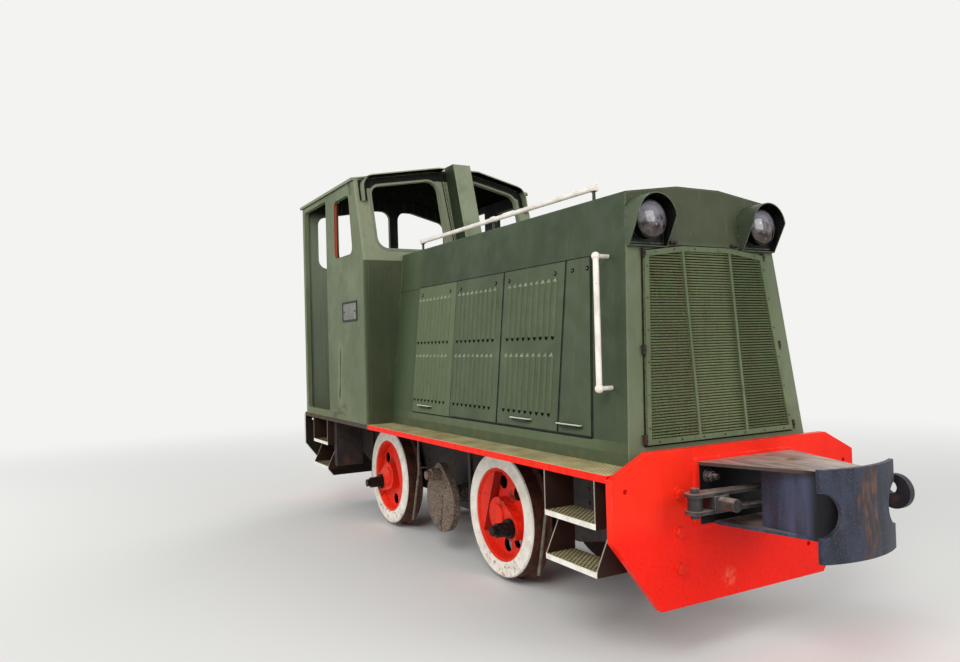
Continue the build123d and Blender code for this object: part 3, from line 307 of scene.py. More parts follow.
def crown_fall(skin):
    """How far a point lies above the line of the cab roof, in metres, which is negative below it."""
    right_of, left_of = (crown_right - skin.y) | 0.0, (skin.y - crown_left) | 0.0
    lifted = right_of * (crown_drop / right_run) + skin.z
    return left_of * (crown_drop / left_run) + lifted - crown_z


def inner_walls_and_shade(skin, tone, inside):
    """Inside, the walls are grey-green, painted black as shade high up away from the right doorway and just
    under the roof.
    """
    # Painted shade: light from the right doorway doesn't reach these walls, so they are painted black
    away = skin.z.ramp(2.20, 2.40) * skin.y.ramp(-0.50, -0.25)
    walls = blend(away, "#78826B", shade_black)
    walls = blend(skin.z.ramp(2.78, 2.86), walls, shade_black)
    return blend(inside, tone, walls)


def wall_tones(skin, tone):
    """The front wall is darker below its crease, partly grime and partly painted shade, pale above it, and
    painted black as shade under the brows.
    """
    tone = blend(skin.z.ramp(*belt_fade), tone, pale_wall)
    # Painted shade: the wall under the brows and beside their legs is black
    brow_shade = abs(skin.y).ramp(0.722, 0.730) * skin.z.ramp(2.69, 2.72) | crown_fall(skin).ramp(-0.112, -0.104)
    tone = blend(brow_shade * skin.ahead.ramp(0.5, 0.8), tone, "#11120D")
    return inner_walls_and_shade(skin, tone, skin.ahead.ramp(-0.5, -0.8))


def rear_wall_tones(skin, tone):
    """The rear wall is plain outside, and takes the painted shade of the cab's inside on its inner face."""
    return inner_walls_and_shade(skin, tone, skin.ahead.ramp(0.5, 0.8))


def duct_side_shade(skin, tone):
    """The sides of the duct are painted darker, as shade."""
    return blend(abs(skin.aside).ramp(0.5, 0.9), tone, "#2C3826")


def roof_tones(skin, tone):
    """The roof's underside is painted nearly black as shade, and its edge faces are pale along the top line
    and painted near black below it as shade.
    """
    # Painted shade: below its pale top line the edge is near black, as in the shade of the overhang
    edge = blend(crown_fall(skin).ramp(-0.0090, -0.0110), "#9AA184", "#14160F")
    edge = blend(abs(skin.y).ramp(0.700, 0.715) * skin.z.ramp(2.900, 2.895), edge, "#7C8369")
    tone = blend(skin.ahead.ramp(0.55, 0.8) | abs(skin.aside).ramp(0.75, 0.9), tone, edge)
    # Painted shade: faces that look down are nearly black
    return blend(skin.upward.ramp(-0.3, -0.7), tone, "#0F100C")


def cab_tones(skin, tone):
    """The ends of the side walls match the front wall, and the side window has a red reveal; its other jamb
    faces are painted near black as shade.
    """
    ahead_face, reveal_x = skin.ahead.ramp(0.35, 0.75), -1.318
    # Darker below the belt, partly grime and partly painted shade, and pale above it, as on the front wall
    front = blend(skin.z.ramp(*belt_fade), "#495039", pale_wall)
    tone = blend(ahead_face * skin.x.ramp(-1.1, -1.0), tone, front)
    reveal = blend(abs(skin.y).ramp(0.810, 0.813) * skin.y.ramp(0.01, -0.01), "#1C1712", "#A8452C")
    jamb = ahead_face * abs(skin.x - reveal_x).ramp(0.03, 0.02) * skin.z.ramp(2.2, 2.3)
    tone = blend(jamb, tone, reveal)
    # An old trickle of rust below the works plate, with a pale edge, and corrosion at the foot
    outward = skin.aside.ramp(-0.7, -0.9)
    wander = skin.patches(60, 2, 0.3, 0.7, 0.010, -0.010, (1, 1, 6))
    off = abs(skin.z * -0.105 + skin.x + 1.3855 + wander)
    halo = off.ramp(0.070, 0.020) * skin.z.ramp(1.00, 1.10, 0.5) * skin.z.ramp(1.62, 1.50)
    tone = blend(outward * halo, tone, "#85906A")
    broken = skin.patches(40, 3, 0.36, 0.58, 1, 0.50, (1, 1, 6))
    trickle = off.ramp(0.021, 0.012) * broken * skin.z.band(1.06, 1.14, 1.56, 1.50)
    tone = blend(outward * trickle, tone, "#16170E")
    holed = skin.z.ramp(1.075, 1.040) * skin.patches(60, 2, 0.46, 0.60, 0.55, 0, (5, 1, 1))
    tone = blend(outward * holed * skin.x.band(-1.52, -1.42, -1.05, -1.15), tone, "#23241A")
    # Faces turned inward take the painted shade of the cab's inside
    return inner_walls_and_shade(skin, tone, (skin.aside * skin.y).ramp(-0.2, -0.5))


print("crown of the roof at", crown_z)

# %% [markdown]
# The hood has its own tones. The first cover is paler, the tips of the louvres are painted pale as
# highlight, the gaps and shaded edges of the covers are painted near black as shade, and the fins of
# the grille are mottled with rust and dust.

# %% Tones of the hood
lamp_y, lamp_z = 0.394, 2.113
wide_gaps_x = (0.9865, 1.6355)
# How far the sides and the front of the hood lean back for each metre of height
hood_lean, nose_lean = 0.124 / 1.271, 0.114 / 1.271


def hood_tones(skin, tone):
    """The upright foot of a hood side is paler than its leaning part, with a painted shadow line under the
    covers.
    """
    tone = blend(skin.x.ramp(-0.20, -0.34, 0.85), tone, "#4B593F")
    foot = skin.z.ramp(1.036, 1.030) * skin.x.ramp(2.16, 1.93, 1, 0.25) * skin.x.ramp(-0.36, -0.24, 1, 0.2)
    tone = blend(foot, tone, "#5A674B")
    tone = blend(skin.z.ramp(0.984, 0.976), tone, "#4A573F")
    # Painted shadow: a black line on the hood just under the covers
    shade = skin.z.band(1.0285, 1.0305, 1.0385, 1.0375) * skin.x.band(0.30, 0.45, 1.938, 1.930)
    return blend(shade, tone, shade_black)


def nose_tones(skin, tone):
    """The front sheet is dark above the grille, and painted black as shade inside the lamp visors."""
    tone = blend(skin.z.ramp(1.96, 2.03), tone, "#424733")
    across, above = abs(skin.y) - lamp_y, skin.z - lamp_z
    below = abs(across).ramp(0.1220, 0.1205) * skin.z.band(1.986, 1.988, 2.12, 2.11)
    # Painted shade inside each visor, round and below the lens
    return blend((across * across + above * above).ramp(0.0150, 0.0145) | below, tone, "#0D0B0D")


def cover_tones(skin, tone):
    """The louvre tips are painted pale as highlight and their sides lighter as painted light; handle rods,
    edges and gaps are painted dark as shade.
    """
    tone = blend(skin.x.ramp(0.37, 0.33, 0.6), tone, "#63704F")
    tone = blend(skin.x.ramp(1.63, 1.64, 0.45), tone, "#3C4833")
    louvred = skin.z.ramp(1.12, 1.14)
    # Painted highlight: louvre tips that face up are pale
    tips = skin.upward.ramp(0.30, 0.48) * louvred * skin.patches(30, 2, 0.3, 0.7, 0.8, 0.35)
    tone = blend(tips, tone, "#A9B299")
    # How far a point stands off the hood's own plane
    off = skin.z * hood_lean + abs(skin.y)
    # Painted shadow: the handle rods that stand off the sheet below the louvres are dark
    tone = blend(off.ramp(0.7200, 0.7215) * skin.z.ramp(1.125, 1.120), tone, "#262D21")
    # Painted light: louvre sides that face forward are lighter
    tone = blend(skin.ahead.ramp(0.25, 0.6) * louvred * skin.x.ramp(1.60, 1.59, 0.55), tone, "#7A866A")
    # Painted shade: the covers' front edges, the wide gaps and the lower edges are near black
    front_edge_shade = abs(skin.x - 0.985).ramp(0.012, 0.010) | skin.x.ramp(1.60, 1.61)
    tone = blend(skin.ahead.ramp(0.5, 0.8) * front_edge_shade, tone, "#11120E")
    for gap_x in wide_gaps_x:
        tone = blend(abs(skin.x - gap_x).ramp(0.0105, 0.0085), tone, "#0A0B08")
    return blend(skin.z.ramp(1.0445, 1.0425) * skin.x.ramp(0.30, 0.45), tone, "#14150F")


def grille_tones(skin, tone):
    """The fins between the bars are dark and mottled with rust, dust and green paint."""
    fins = blend(skin.patches(120, 3, 0.35, 0.65), "#65724A", "#6A6246")
    fins = blend(skin.patches(9, 3, 0.52, 0.66, 0.8), fins, "#8A9268")
    fins = blend(skin.patches(14, 3, 0.56, 0.70, 0.8), fins, "#3A2A1F")
    fins = blend(skin.y.ramp(0.10, 0.16, 0.45), fins, "#3C4430")
    fins = blend(skin.y.ramp(-0.16, -0.10) * skin.y.ramp(0.16, 0.10, 0.35), fins, "#98A078")
    # The fins lie behind the plane of the front sheet, which leans back
    return blend((skin.z * nose_lean + skin.x).ramp(2.3180, 2.3150), tone, fins)


def visor_shade(skin, tone):
    """The visors and the holders are painted black inside as shade, and green outside."""
    across, above = abs(skin.y) - lamp_y, skin.z - lamp_z
    turned_out = above * skin.upward + across * skin.aside * skin.y.math("SIGN")
    core = (across * across + above * above).ramp(0.0140, 0.0135)
    back = skin.ahead.ramp(0.93, 0.97) * skin.x.ramp(2.1275, 2.1265)
    # Painted shade inside each visor
    return blend(turned_out.ramp(0.0, -0.01) | core | back, tone, "#0D0B0D")


hood_enamel = enamel("hood", "#3A4530", "#445038", "#2E3A28", "#8C9576", foot=0.93, streak=0.16, rim_mm=2,
                     change=hood_tones)
nose_enamel = enamel("hood_nose", "#676F56", "#727A60", "#4C543F", "#98A080", foot=0.93, change=nose_tones)
cover_enamel = enamel("covers", "#4C5840", "#576349", "#3A4430", "#7F8A6C", rim_mm=2, change=cover_tones)
cab_enamel = enamel("cab", "#646E51", "#707A5F", "#4E583F", "#969F7D", foot=0.95, streak=0.3,
                    change=cab_tones)
rear_enamel = enamel("cab_rear", "#5C6649", "#687257", "#48523A", "#8E9775", foot=0.95, streak=0.3,
                     change=rear_wall_tones)
wall_enamel = enamel("cab_wall", "#495039", "#545B44", "#383E2C", "#848C70", foot=0.93, change=wall_tones)
roof_enamel = enamel("roof", "#525B46", "#606952", "#3A4232", "#A9B196", change=roof_tones)
brow_enamel = enamel("brows", "#353C2D", "#404836", "#262B20", "#A3AB90", change=roof_tones)
duct_enamel = enamel("duct", "#878E74", "#91987F", "#525B43", "#9AA183", change=duct_side_shade)
grille_enamel = enamel("grille", "#5F6B4D", "#6D7958", "#3D4631", "#8C9878", streak=0.3, rim_mm=2,
                       change=grille_tones)
lamp_enamel = enamel("lamps", "#4A5340", "#566049", "#2C3326", "#8C9880", change=visor_shade)
desk_enamel = enamel("desk", "#4D5642", "#5A634E", "#343B2C", "#7E876E")
print("olive enamels made")

# %% [markdown]
# ## Red enamel
# The headstocks and wheels are steel plate in gloss red. It is newer than the olive, so it keeps a
# shine, with dust in soft clouds, darker grime low down and small scuffs.

# %% Red enamel
def red_enamel(name, bright, deep, grime, grime_from, grime_to, streak=0.3, rim_mm=4, change=None):
    """Gloss red that turns grimy between two heights in metres."""
    skin = Surface("red_enamel_" + name, specular=0.12)
    tone = blend(skin.patches(420, 3, 0.3, 0.7), bright, deep)
    tone = blend(skin.patches(26, 2, 0.52, 0.82, streak, 0, (1, 1, 9)), tone, "#B5170F")
    tone = blend(skin.patches(5, 1, 0.70, 0.76, 0.5), tone, "#93190F")
    tone = blend(skin.patches(9, 2, 0.27, 0.22, 0.6), tone, "#FF8D78")
    rounded, rim = skin.edges(rim_mm)
    tone = blend(rim * skin.patches(40, 3, 0.45, 0.65, 0.6), tone, "#FF9A86")
    tone = blend(skin.z.ramp(grime_from, grime_to) * skin.patches(8, 4, 0.45, 0.80, 0.5), tone, grime)
    if change:
        tone = change(skin, tone)
    return skin.finish(Base_Color=tone, Roughness=skin.patches(60, 4, 0.3, 0.7, 0.5, 0.3),
                       Normal=skin.bumps(10, 2, 0.7, 0.35, rounded))


def pressed_red(skin, tone):
    """The lower half of a headstock is a deeper, mottled red, with one old scuff on the right."""
    low = skin.z.ramp(0.74, 0.58)
    tone = blend(low * 0.8, tone, "#FF1A08")
    tone = blend(low * skin.patches(13, 2, 0.52, 0.66, 0.3), tone, "#D0140A")
    scuff = skin.away((0, -0.129, 0.365), (0, 1, 1)).ramp(0.065, 0.015)
    scuff = scuff * skin.patches(22, 3, 0.40, 0.62, 0.45)
    return blend(scuff, tone, "#FF8A6A")


def front_red(skin, tone):
    """The front headstock is painted nearly black inside the coupler box, as shade."""
    box_shade = abs(skin.y).ramp(0.320, 0.316) * skin.z.band(0.640, 0.645, 0.930, 0.925)
    return blend(box_shade * skin.ahead.ramp(0.5, 0.8), pressed_red(skin, tone), "#1C1A1E")


def rear_red(skin, tone):
    """The rear headstock is red outside, with pale edges and a dark inner face."""
    tone = blend(skin.ahead.ramp(-0.7, -0.4), pressed_red(skin, tone), "#D8D2C6")
    return blend(skin.ahead.ramp(0.4, 0.7), tone, "#2A2320")


headstock_enamel, rear_headstock_enamel = (
    red_enamel(name, "#FF2F1A", "#E81F0D", "#D81A0C", 0.50, 0.22, 0.08, 3, change)
    for name, change in (("headstock", front_red), ("rear_headstock", rear_red)))
print("headstock enamels made")

# %% [markdown]
# ## Rolled tread plate
# Running boards and steps are rolled plate with raised ribs, trodden bare and dusty, so it looks
# tan. Their turned-down edges are painted: red on the boards, white on the steps. One material
# serves both faces of a node: it reads the face's direction to tell tread from edge.

# %% Tread plate
def tread_plate(name, edge_colour, edge_shade, side_colour=None):
    """Dusty rolled plate on top with a painted edge, and its own colour on faces across."""
    skin = Surface("tread_plate_" + name, specular=0.1)
    dust = blend(skin.patches(160, 4, 0.3, 0.7), "#DDCF9C", "#BAB284")
    dust = blend(skin.patches(14, 3, 0.55, 0.75, 0.6), dust, "#5C5138")
    tone = blend(skin.patches(60, 3, 0.35, 0.7), edge_colour, edge_shade)
    tone = blend(skin.patches(16, 3, 0.68, 0.74, 0.6), tone, "#7A2A1C")
    underside = inner = "#2A2420"
    if side_colour:
        inner = blend(skin.patches(45, 4, 0.35, 0.65), side_colour, "#33241F")
        tone = blend(abs(skin.ahead).ramp(0.5, 0.8), tone, inner)
        cheek = skin.z.ramp(0.690, 0.692) | skin.z.band(0.473, 0.475, 0.660, 0.658)
        tone = blend(cheek * abs(skin.aside).ramp(0.5, 0.8), tone, "#9A9184")
    tone = blend((skin.aside * skin.y).ramp(-0.01, -0.1), tone, inner)
    upward = skin.upward.ramp(0.5, 0.8)
    tone = blend(upward, tone, dust)
    tone = blend(skin.upward.ramp(-0.5, -0.8), tone, underside)
    return skin.finish(Base_Color=tone, Roughness=upward.ramp(0, 1, 0.75, 0.4),
                       Normal=skin.bumps(6, 3, 0.8, 0.5))


board_plate = tread_plate("boards", "#FF2814", "#F01C0C")
step_plate = tread_plate("steps", "#F6F1E8", "#E2DACC", "#35241E")
print("tread plate made")

# %% [markdown]
# ## Iron and steel
# Forged hooks, castings and coupler plates carry no fresh paint. Bare steel goes blue-grey where it
# is rubbed and brown where water lies. Rust is not metallic, so the same mask that changes the
# colour takes the metallic value down.

# %% Iron and steel
def old_iron(name, base, second, rust, rust_amount, rough=0.6, metal=0.3, speck_mm=9, change=None,
             stretch=(1, 1, 1), rim_colour="#8A8B8C", cover=None):
    """Weathered iron: two tones of scale, with rust in patches over change and under cover."""
    skin = Surface(name, specular=0.4)
    tone = blend(skin.patches(60, 5, 0.35, 0.65, stretch=stretch), base, second)
    if change:
        tone = change(skin, tone)
    rusty = skin.patches(110, 5, 0.75 - rust_amount * 0.45, 0.95 - rust_amount * 0.45)
    tone = blend(rusty, tone, rust)
    tone = blend(skin.patches(speck_mm, 2, 0.6, 0.72, 0.6), tone, rust)
    rounded, rim = skin.edges(3)
    tone = blend(rim * skin.patches(30, 2, 0.35, 0.6, 0.6), tone, rim_colour)
    if cover:
        tone = cover(skin, tone)
    return skin.finish(Base_Color=tone, Metallic=rusty.ramp(0, 1, 0, metal),
                       Roughness=rusty.ramp(0, 1, 0.9, rough),
                       Normal=skin.bumps(speck_mm, 4, 1.2, 0.5, rounded))


def lid_tones(skin, tone):
    """Brown rust with grey wipes on the coupler's top plate, which people stand on."""
    lid = blend(skin.patches(38, 4, 0.35, 0.65, stretch=(5, 1, 1)), "#BBA597", "#8D7E78")
    lid = blend(skin.patches(130, 3, 0.52, 0.70), lid, "#86654F")
    tone = blend(skin.patches(7, 3, 0.50, 0.68, 0.4), tone, "#5C5C74")
    tone = blend(skin.z.ramp(0.9225, 0.9235), tone, "#4E3F38")
    return blend(skin.upward.ramp(0.5, 0.8), tone, lid)


def notch_tones(skin, tone):
    """Grease and shade behind the notches of the buffer."""
    return blend(abs(skin.x).ramp(2.79, 2.86) * skin.upward.ramp(0.8, 0.5), tone, "#111016")


def rubbed_tones(skin, tone):
    """A rusty stripe down the middle of a buffer, where it touches its neighbour."""
    wander = skin.patches(60, 3, 0.2, 0.8, 0.030, -0.030, (1, 1, 3))
    stripe = abs(skin.y + wander).ramp(0.068, 0.030) * skin.patches(40, 5, 0.28, 0.62, 1, 0.15, (1, 1, 2))
    rust = blend(skin.patches(22, 4, 0.32, 0.62, stretch=(1, 1, 3)), "#6E4C3A", "#3A2D2B")
    return blend(stripe, blend(skin.patches(7, 3, 0.50, 0.68, 0.4), tone, "#4F5568"), rust)


def link_tones(skin, tone):
    """Dust and rubbed metal on the tops of the links, which are nearly black below."""
    tops = blend(skin.patches(30, 3, 0.35, 0.65), "#A89A8E", "#7E7068")
    return blend(skin.upward.ramp(0.35, 0.75), tone, tops)


def cracked_tones(skin, tone):
    """Sandy casting skin on the jackshaft's weights, with one long crack down the right one."""
    tone = blend(skin.patches(11, 3, 0.48, 0.62, 0.75), tone, "#94877A")
    tone = blend(skin.patches(9, 2, 0.42, 0.34, 0.75), tone, "#3C302A")
    wander, crack_x = skin.patches(60, 3, 0.2, 0.8, 0.011, -0.011), -0.049
    crack = abs(skin.z * -0.178 + skin.x + wander - crack_x).ramp(0.0075, 0.0040)
    return blend(crack * skin.z.ramp(0.440, 0.420) * skin.y.ramp(0.1, 0), tone, "#1E1815")


coupler_steel = old_iron("weathered_steel_coupler", "#4A5870", "#343B49", "#5A4C48", 0.2, 0.5, 0.3,
                         change=lid_tones, stretch=(1, 1, 6), cover=notch_tones)
buffer_steel = old_iron("weathered_steel_buffer", "#303547", "#222530", "#4A4542", 0.2, 0.5, 0.3,
                        change=rubbed_tones, stretch=(1, 1, 3))
hook_iron = old_iron("forged_iron_hooks", "#34323A", "#26252B", "#4A3A30", 0.35, 0.5, 0.3,
                     rim_colour="#6E6C72")
link_iron = old_iron("forged_iron_links", "#55504E", "#363436", "#5E4838", 0.35, 0.45, 0.3, change=link_tones,
                     rim_colour="#B5AFA8")
sand_iron = old_iron("dusty_iron_pipes", "#8A8474", "#66614F", "#6B5140", 0.35, 0.6, 0.2, 8,
                     rim_colour="#A49E8E")
frame_paint = old_iron("black_paint_frame", "#2B2422", "#1D1918", "#4A3025", 0.5, 0.75, 0.0, 14,
                       rim_colour="#5A4C44")
engine_iron = old_iron("cast_iron_engine", "#34383A", "#26292A", "#4A3528", 0.3, 0.6, 0.2)
gearbox_iron = old_iron("oily_cast_iron_gearbox", "#2A2421", "#38302A", "#4C3724", 0.5, 0.55, 0.2, 16)
spring_iron = old_iron("oily_iron_springs", "#28221F", "#38302A", "#553A28", 0.55, 0.6, 0.2, 14)
jackshaft_iron = old_iron("cast_iron_jackshaft", "#75604E", "#57483C", "#44352B", 0.40, 0.8, 0.1, 8,
                          rim_colour="#8E7E6C", cover=cracked_tones)
floor_plate = old_iron("dusty_steel_floor", "#4A4034", "#382F27", "#5C4430", 0.5, 0.8, 0.1, 14)
zinc = old_iron("dull_zinc_screws", "#8C8E88", "#6C6E68", "#6B5140", 0.35, 0.45, 0.7, 4)
print("irons made")

# %% [markdown]
# ## White enamel and tyres
# The rails are tube in white enamel. The tyre is one steel ring, painted white on its flat outer
# face only, while the tread and flange keep their brown rust. Distance from the middle of the
# locomotive tells the two apart.

# %% White enamel and tyres
skin = Surface("white_enamel_rails", rough=0.4)
tone = blend(skin.patches(90, 4, 0.35, 0.7), "#F2EAE0", "#DCD2C6")
tone = blend(skin.patches(11, 3, 0.68, 0.74, 0.8), tone, "#7C6350")
post = skin.z.ramp(2.316, 2.314) * skin.z.ramp(2.1, 2.2)
rail_enamel = skin.finish(Base_Color=blend(post, tone, "#2E3528"), Normal=skin.bumps(8, 3, 0.6, 0.3))

skin = Surface("white_faced_tyre_steel", rough=0.6)
rust = blend(skin.patches(50, 5, 0.35, 0.65), "#5A2E20", "#38201A")
rust = blend(skin.patches(9, 2, 0.64, 0.72, 0.7), rust, "#83513A")
face = blend(skin.patches(80, 4, 0.35, 0.7), "#FBF4E8", "#E6DDCF")
face = blend(skin.z.ramp(0.26, 0.08) * skin.patches(26, 4, 0.50, 0.70, 0.9), face, "#8A6546")
face = blend(skin.patches(13, 4, 0.66, 0.72, 0.8), face, "#6A5142")
face = blend(skin.patches(34, 3, 0.70, 0.74, 0.85), face, "#7A4A35")
outside = abs(skin.y).ramp(0.4685, 0.4705)
tyre_steel = skin.finish(Base_Color=blend(outside, rust, face),
                         Normal=skin.bumps(12, 4, 0.8, 0.4, skin.edges(4)[0]))
print("white enamel and tyres made")

# %% [markdown]
# ## Wheel centres
# The wheel centres are cast steel in the same red as the headstocks. Grease from the rods has run
# down from the crank pins, the pins themselves are black with it, and the axle inside is bare.

# %% Wheel centres
axle_x = {"front": 0.760, "rear": -1.090}
axle_z = 0.426
# Where grease lies round the crank pin and above the hub, as x and z
grease_at = {"front": (0.908, 0.366, 0.835, 0.530), "rear": (-1.235, 0.358, -1.150, 0.530)}


def wheel_enamel(end):
    """Red wheel centres whose crank pins, but not the axle ends, are black with grease."""
    def change(skin, tone):
        tone = blend(skin.patches(42, 3, 0.60, 0.72, 0.6), tone, "#6A1A10")
        across, sideways = abs(skin.y), abs(skin.aside)
        reach = skin.away((axle_x[end], 0, axle_z))
        pin = blend(skin.patches(12, 3, 0.4, 0.7), "#151212", "#332A25")
        tone = blend(across.ramp(0.4885, 0.4905) * reach.ramp(0.088, 0.094), tone, pin)
        tone = blend(across.ramp(0.350, 0.340), tone, "#2A211D")
        # Painted shade: the walls of the lightening holes are black, and the bevel of the counterweight is
        # darker
        hole_shade = across.band(0.384, 0.386, 0.4215, 0.4195) * sideways.ramp(0.5, 0.3) * reach.ramp(0.252, 0.248)
        tone = blend(hole_shade, tone, "#1E0D0A")
        bevel = across.band(0.4205, 0.4225, 0.4650, 0.4630) * sideways.band(0.50, 0.55, 0.72, 0.67)
        tone = blend(bevel, tone, "#8E150B")
        crank_x, crank_z, hub_x, hub_z = grease_at[end]
        for x, z, wide, amount in ((crank_x, crank_z, 0.100, 0.75), (hub_x, hub_z, 0.070, 0.85)):
            near = skin.away((x, 0, z)).ramp(wide, wide * 0.4) * across.ramp(0.4895, 0.4885)
            tone = blend(near * skin.patches(48, 3, 0.40, 0.62, amount), tone, "#5A2A20")
        return tone

    return red_enamel(f"{end}_wheels", "#FF3A22", "#E62612", "#6A1A0E", 0.36, 0.10, change=change)


front_wheel_enamel, rear_wheel_enamel = wheel_enamel("front"), wheel_enamel("rear")
print("wheel centres made")

# %% [markdown]
# ## Lamp glass
# The headlamp lenses are thick moulded glass domes, dull with dust. Their colour is a painted
# reflection of the ground low down and the sky higher up, with dark patches and small pale glints.

# %% Lamp glass
skin = Surface("moulded_headlamp_glass", rough=0.08, specular=0.6)
# Painted reflection: ground-brown low down and sky-grey higher up, with dark patches and pale glints
level = skin.z + skin.patches(60, 3, 0.3, 0.7, 0.02, -0.02)
tone = blend(level.ramp(2.050, 2.150), "#3E2C24", "#77747D")
tone = blend(skin.patches(34, 3, 0.46, 0.60) * level.ramp(2.150, 2.100) * 0.85, tone, "#1C1512")
tone = blend(skin.patches(26, 2, 0.68, 0.76, 0.7), tone, "#C9C4C2")
lens_glass = skin.finish(Base_Color=tone, Normal=skin.bumps(40, 2, 1.5, 0.3))
print("lamp glass made")

# %% [markdown]
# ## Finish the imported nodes
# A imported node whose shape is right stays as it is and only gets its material. The table below
# names each finish once with its nodes, so nothing keeps the plain colour that it was packed with.

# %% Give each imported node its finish
finishes = (
    (headstock_enamel, "front_end_plate"), (rear_headstock_enamel, "rear_end_plate"),
    (frame_paint, "main_frame under_floor_boxes hand_brake"), (floor_plate, "cab_floor"),
    (board_plate, "running_boards"), (step_plate, "front_steps cab_steps"),
    (hood_enamel, "hood_side_right hood_side_left hood_roof"), (nose_enamel, "hood_front"),
    (grille_enamel, "grille"), (lamp_enamel, "headlamps"), (lens_glass, "headlamp_lenses"),
    (rail_enamel, "handrails"), (cab_enamel, "cab_side_right cab_side_left"), (wall_enamel, "cab_front"),
    (rear_enamel, "cab_rear"), (roof_enamel, "cab_roof"), (brow_enamel, "window_brows"),
    (duct_enamel, "exhaust_duct"), (desk_enamel, "control_desk"), (coupler_steel, "coupler_brackets"),
    (sand_iron, "sand_pipes"), (buffer_steel, "buffers"), (hook_iron, "draw_hooks"),
    (link_iron, "screw_couplings"), (engine_iron, "engine"), (gearbox_iron, "gearbox brake_gear"),
    (spring_iron, "axle_boxes leaf_springs"), (front_wheel_enamel, "front_wheelset"),
    (rear_wheel_enamel, "rear_wheelset"), (tyre_steel, "front_tyres rear_tyres"),
    (jackshaft_iron, "jackshaft"), (cover_enamel, " ".join(name for name in nodes if "_cover_" in name)),
)
bare = set(nodes)
for finish, names in finishes:
    for name in names.split():
        mesh = nodes[name].data
        mesh.materials.clear()
        mesh.materials.append(finish)
        bare.remove(name)
print("finished", len(nodes), "nodes; left:", sorted(bare))


# %% [markdown]
# ## Helpers for shapes
# Most of the added pieces are of three kinds: things turned on a lathe, such as bolts, rims and
# rivets, strips that follow a line, such as seals and weld beads, and small cut plates. Each kind
# has one function that adds its faces to a mesh under construction, and one more makes the object.

# %% Turned shapes, strips and plates
def bridge(build, rings):
    """Adds the faces between rings of points that follow each other."""
    for low, high in zip(rings, rings[1:]):
        for n in range(len(low)):
            m = (n + 1) % len(low)
            build.faces.new((low[n], low[m], high[m], high[n]))


def turned(build, at, axis, rows, sides=20, start=0.0):
    """Adds a turned shape from rows of distance along the axis and radius, in metres."""
    axis = Vector(axis).normalized()
    across = axis.cross(Vector((0, 0, 1)) if abs(axis.z) < 0.9 else Vector((1, 0, 0))).normalized()
    other = axis.cross(across)
    turns = [start + math.tau * n / sides for n in range(sides)]
    rings = [[
        build.verts.new(Vector(at) + axis * along + (across * math.cos(a) + other * math.sin(a)) * radius)
        for a in turns] for along, radius in rows]
    bridge(build, rings)
    build.faces.new(rings[0])
    build.faces.new(rings[-1])


def strip(build, path, out, section, closed=False):
    """Adds a strip along a path. The section gives places across the path and outward."""
    out = Vector(out).normalized()
    path = [Vector(p) for p in path]
    count = len(path)
    rings = []
    for n, point in enumerate(path):
        before = path[n - 1] if n or closed else point
        after = path[(n + 1) % count] if n < count - 1 or closed else point
        along = (after - before).normalized()
        across = along.cross(out).normalized()
        own = section(n) if callable(section) else section
        rings.append([build.verts.new(point + across * a + out * o) for a, o in own])
    bridge(build, rings + rings[:1] if closed else rings)
    if not closed:
        build.faces.new(rings[0])
        build.faces.new(rings[-1])


def plate(build, outline, thick):
    """Adds a flat plate: an outline of points, and the way and distance to its other face."""
    low = [build.verts.new(Vector(p)) for p in outline]
    high = [build.verts.new(Vector(p) + Vector(thick)) for p in outline]
    build.faces.new(low)
    build.faces.new(high)
    bridge(build, [low, high])


def frame_ring(build, one, other, place, out, thick):
    """Adds a flat ring between two outlines, laid where place puts them and raised outward."""
    loops = [[build.verts.new(place(p) + out * lift) for p in outline]
             for outline, lift in ((one, 0.0), (one, thick), (other, thick), (other, 0.0))]
    bridge(build, loops + loops[:1])


def flat_strip(half, high):
    """The section of a strip with square edges."""
    return [(-half, 0), (-half, high), (half, high), (half, 0)]


def rounded_outline(corners, radius, steps):
    """Rounds the corners of a flat outline of 3-D points."""
    points = []
    for n, corner in enumerate(corners):
        before = (corners[n - 1] - corner).normalized()
        after = (corners[(n + 1) % len(corners)] - corner).normalized()
        half = before.angle(after) / 2
        if half > math.radians(80):
            points.append(corner)
            continue
        reach = radius / math.tan(half)
        middle = corner + (before + after).normalized() * radius / math.sin(half)
        start = (corner + before * reach - middle).normalized()
        end = (corner + after * reach - middle).normalized()
        points += [middle + start.slerp(end, k / steps) * radius for k in range(steps + 1)]
    return points


def plain_finish(name, tones, patches, bumps, **looks):
    """A finish of two tones in patches."""
    skin = Surface(name, **looks)
    return skin.finish(Base_Color=blend(skin.patches(*patches), *tones), Normal=skin.bumps(*bumps))


def new_piece(name, build, finish, body="chassis", smooth=35):
    """Turns a mesh under construction into a piece that rides on a body."""
    bmesh.ops.recalc_face_normals(build, faces=build.faces)
    mesh = bpy.data.meshes.new(name)
    build.to_mesh(mesh)
    build.free()
    mesh.materials.append(finish)
    mesh.polygons.foreach_set("use_smooth", [True] * len(mesh.polygons))
    mesh.set_sharp_from_angle(angle=math.radians(smooth))
    made = bpy.data.objects.new(name, mesh)
    bpy.context.scene.collection.objects.link(made)
    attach(made, body)
    print(name, len(mesh.polygons), "faces")
    return made


SIDES = (("right", -1), ("left", 1))
ENDS = (("front", 1), ("rear", -1))
windscreen_lean, belt_x, belt_z, rear_wall_x, cab_side_y = 0.295, -0.635, 2.215, -2.270, 0.835
hood_foot_y, hood_foot_x, hood_foot_z = 0.617, 2.216, 0.982


def side_y(z):
    """Half the width of the hood at a height."""
    return hood_foot_y - hood_lean * (z - hood_foot_z)


def nose_x(z):
    """The front face of the hood at a height."""
    return hood_foot_x - nose_lean * (z - hood_foot_z)


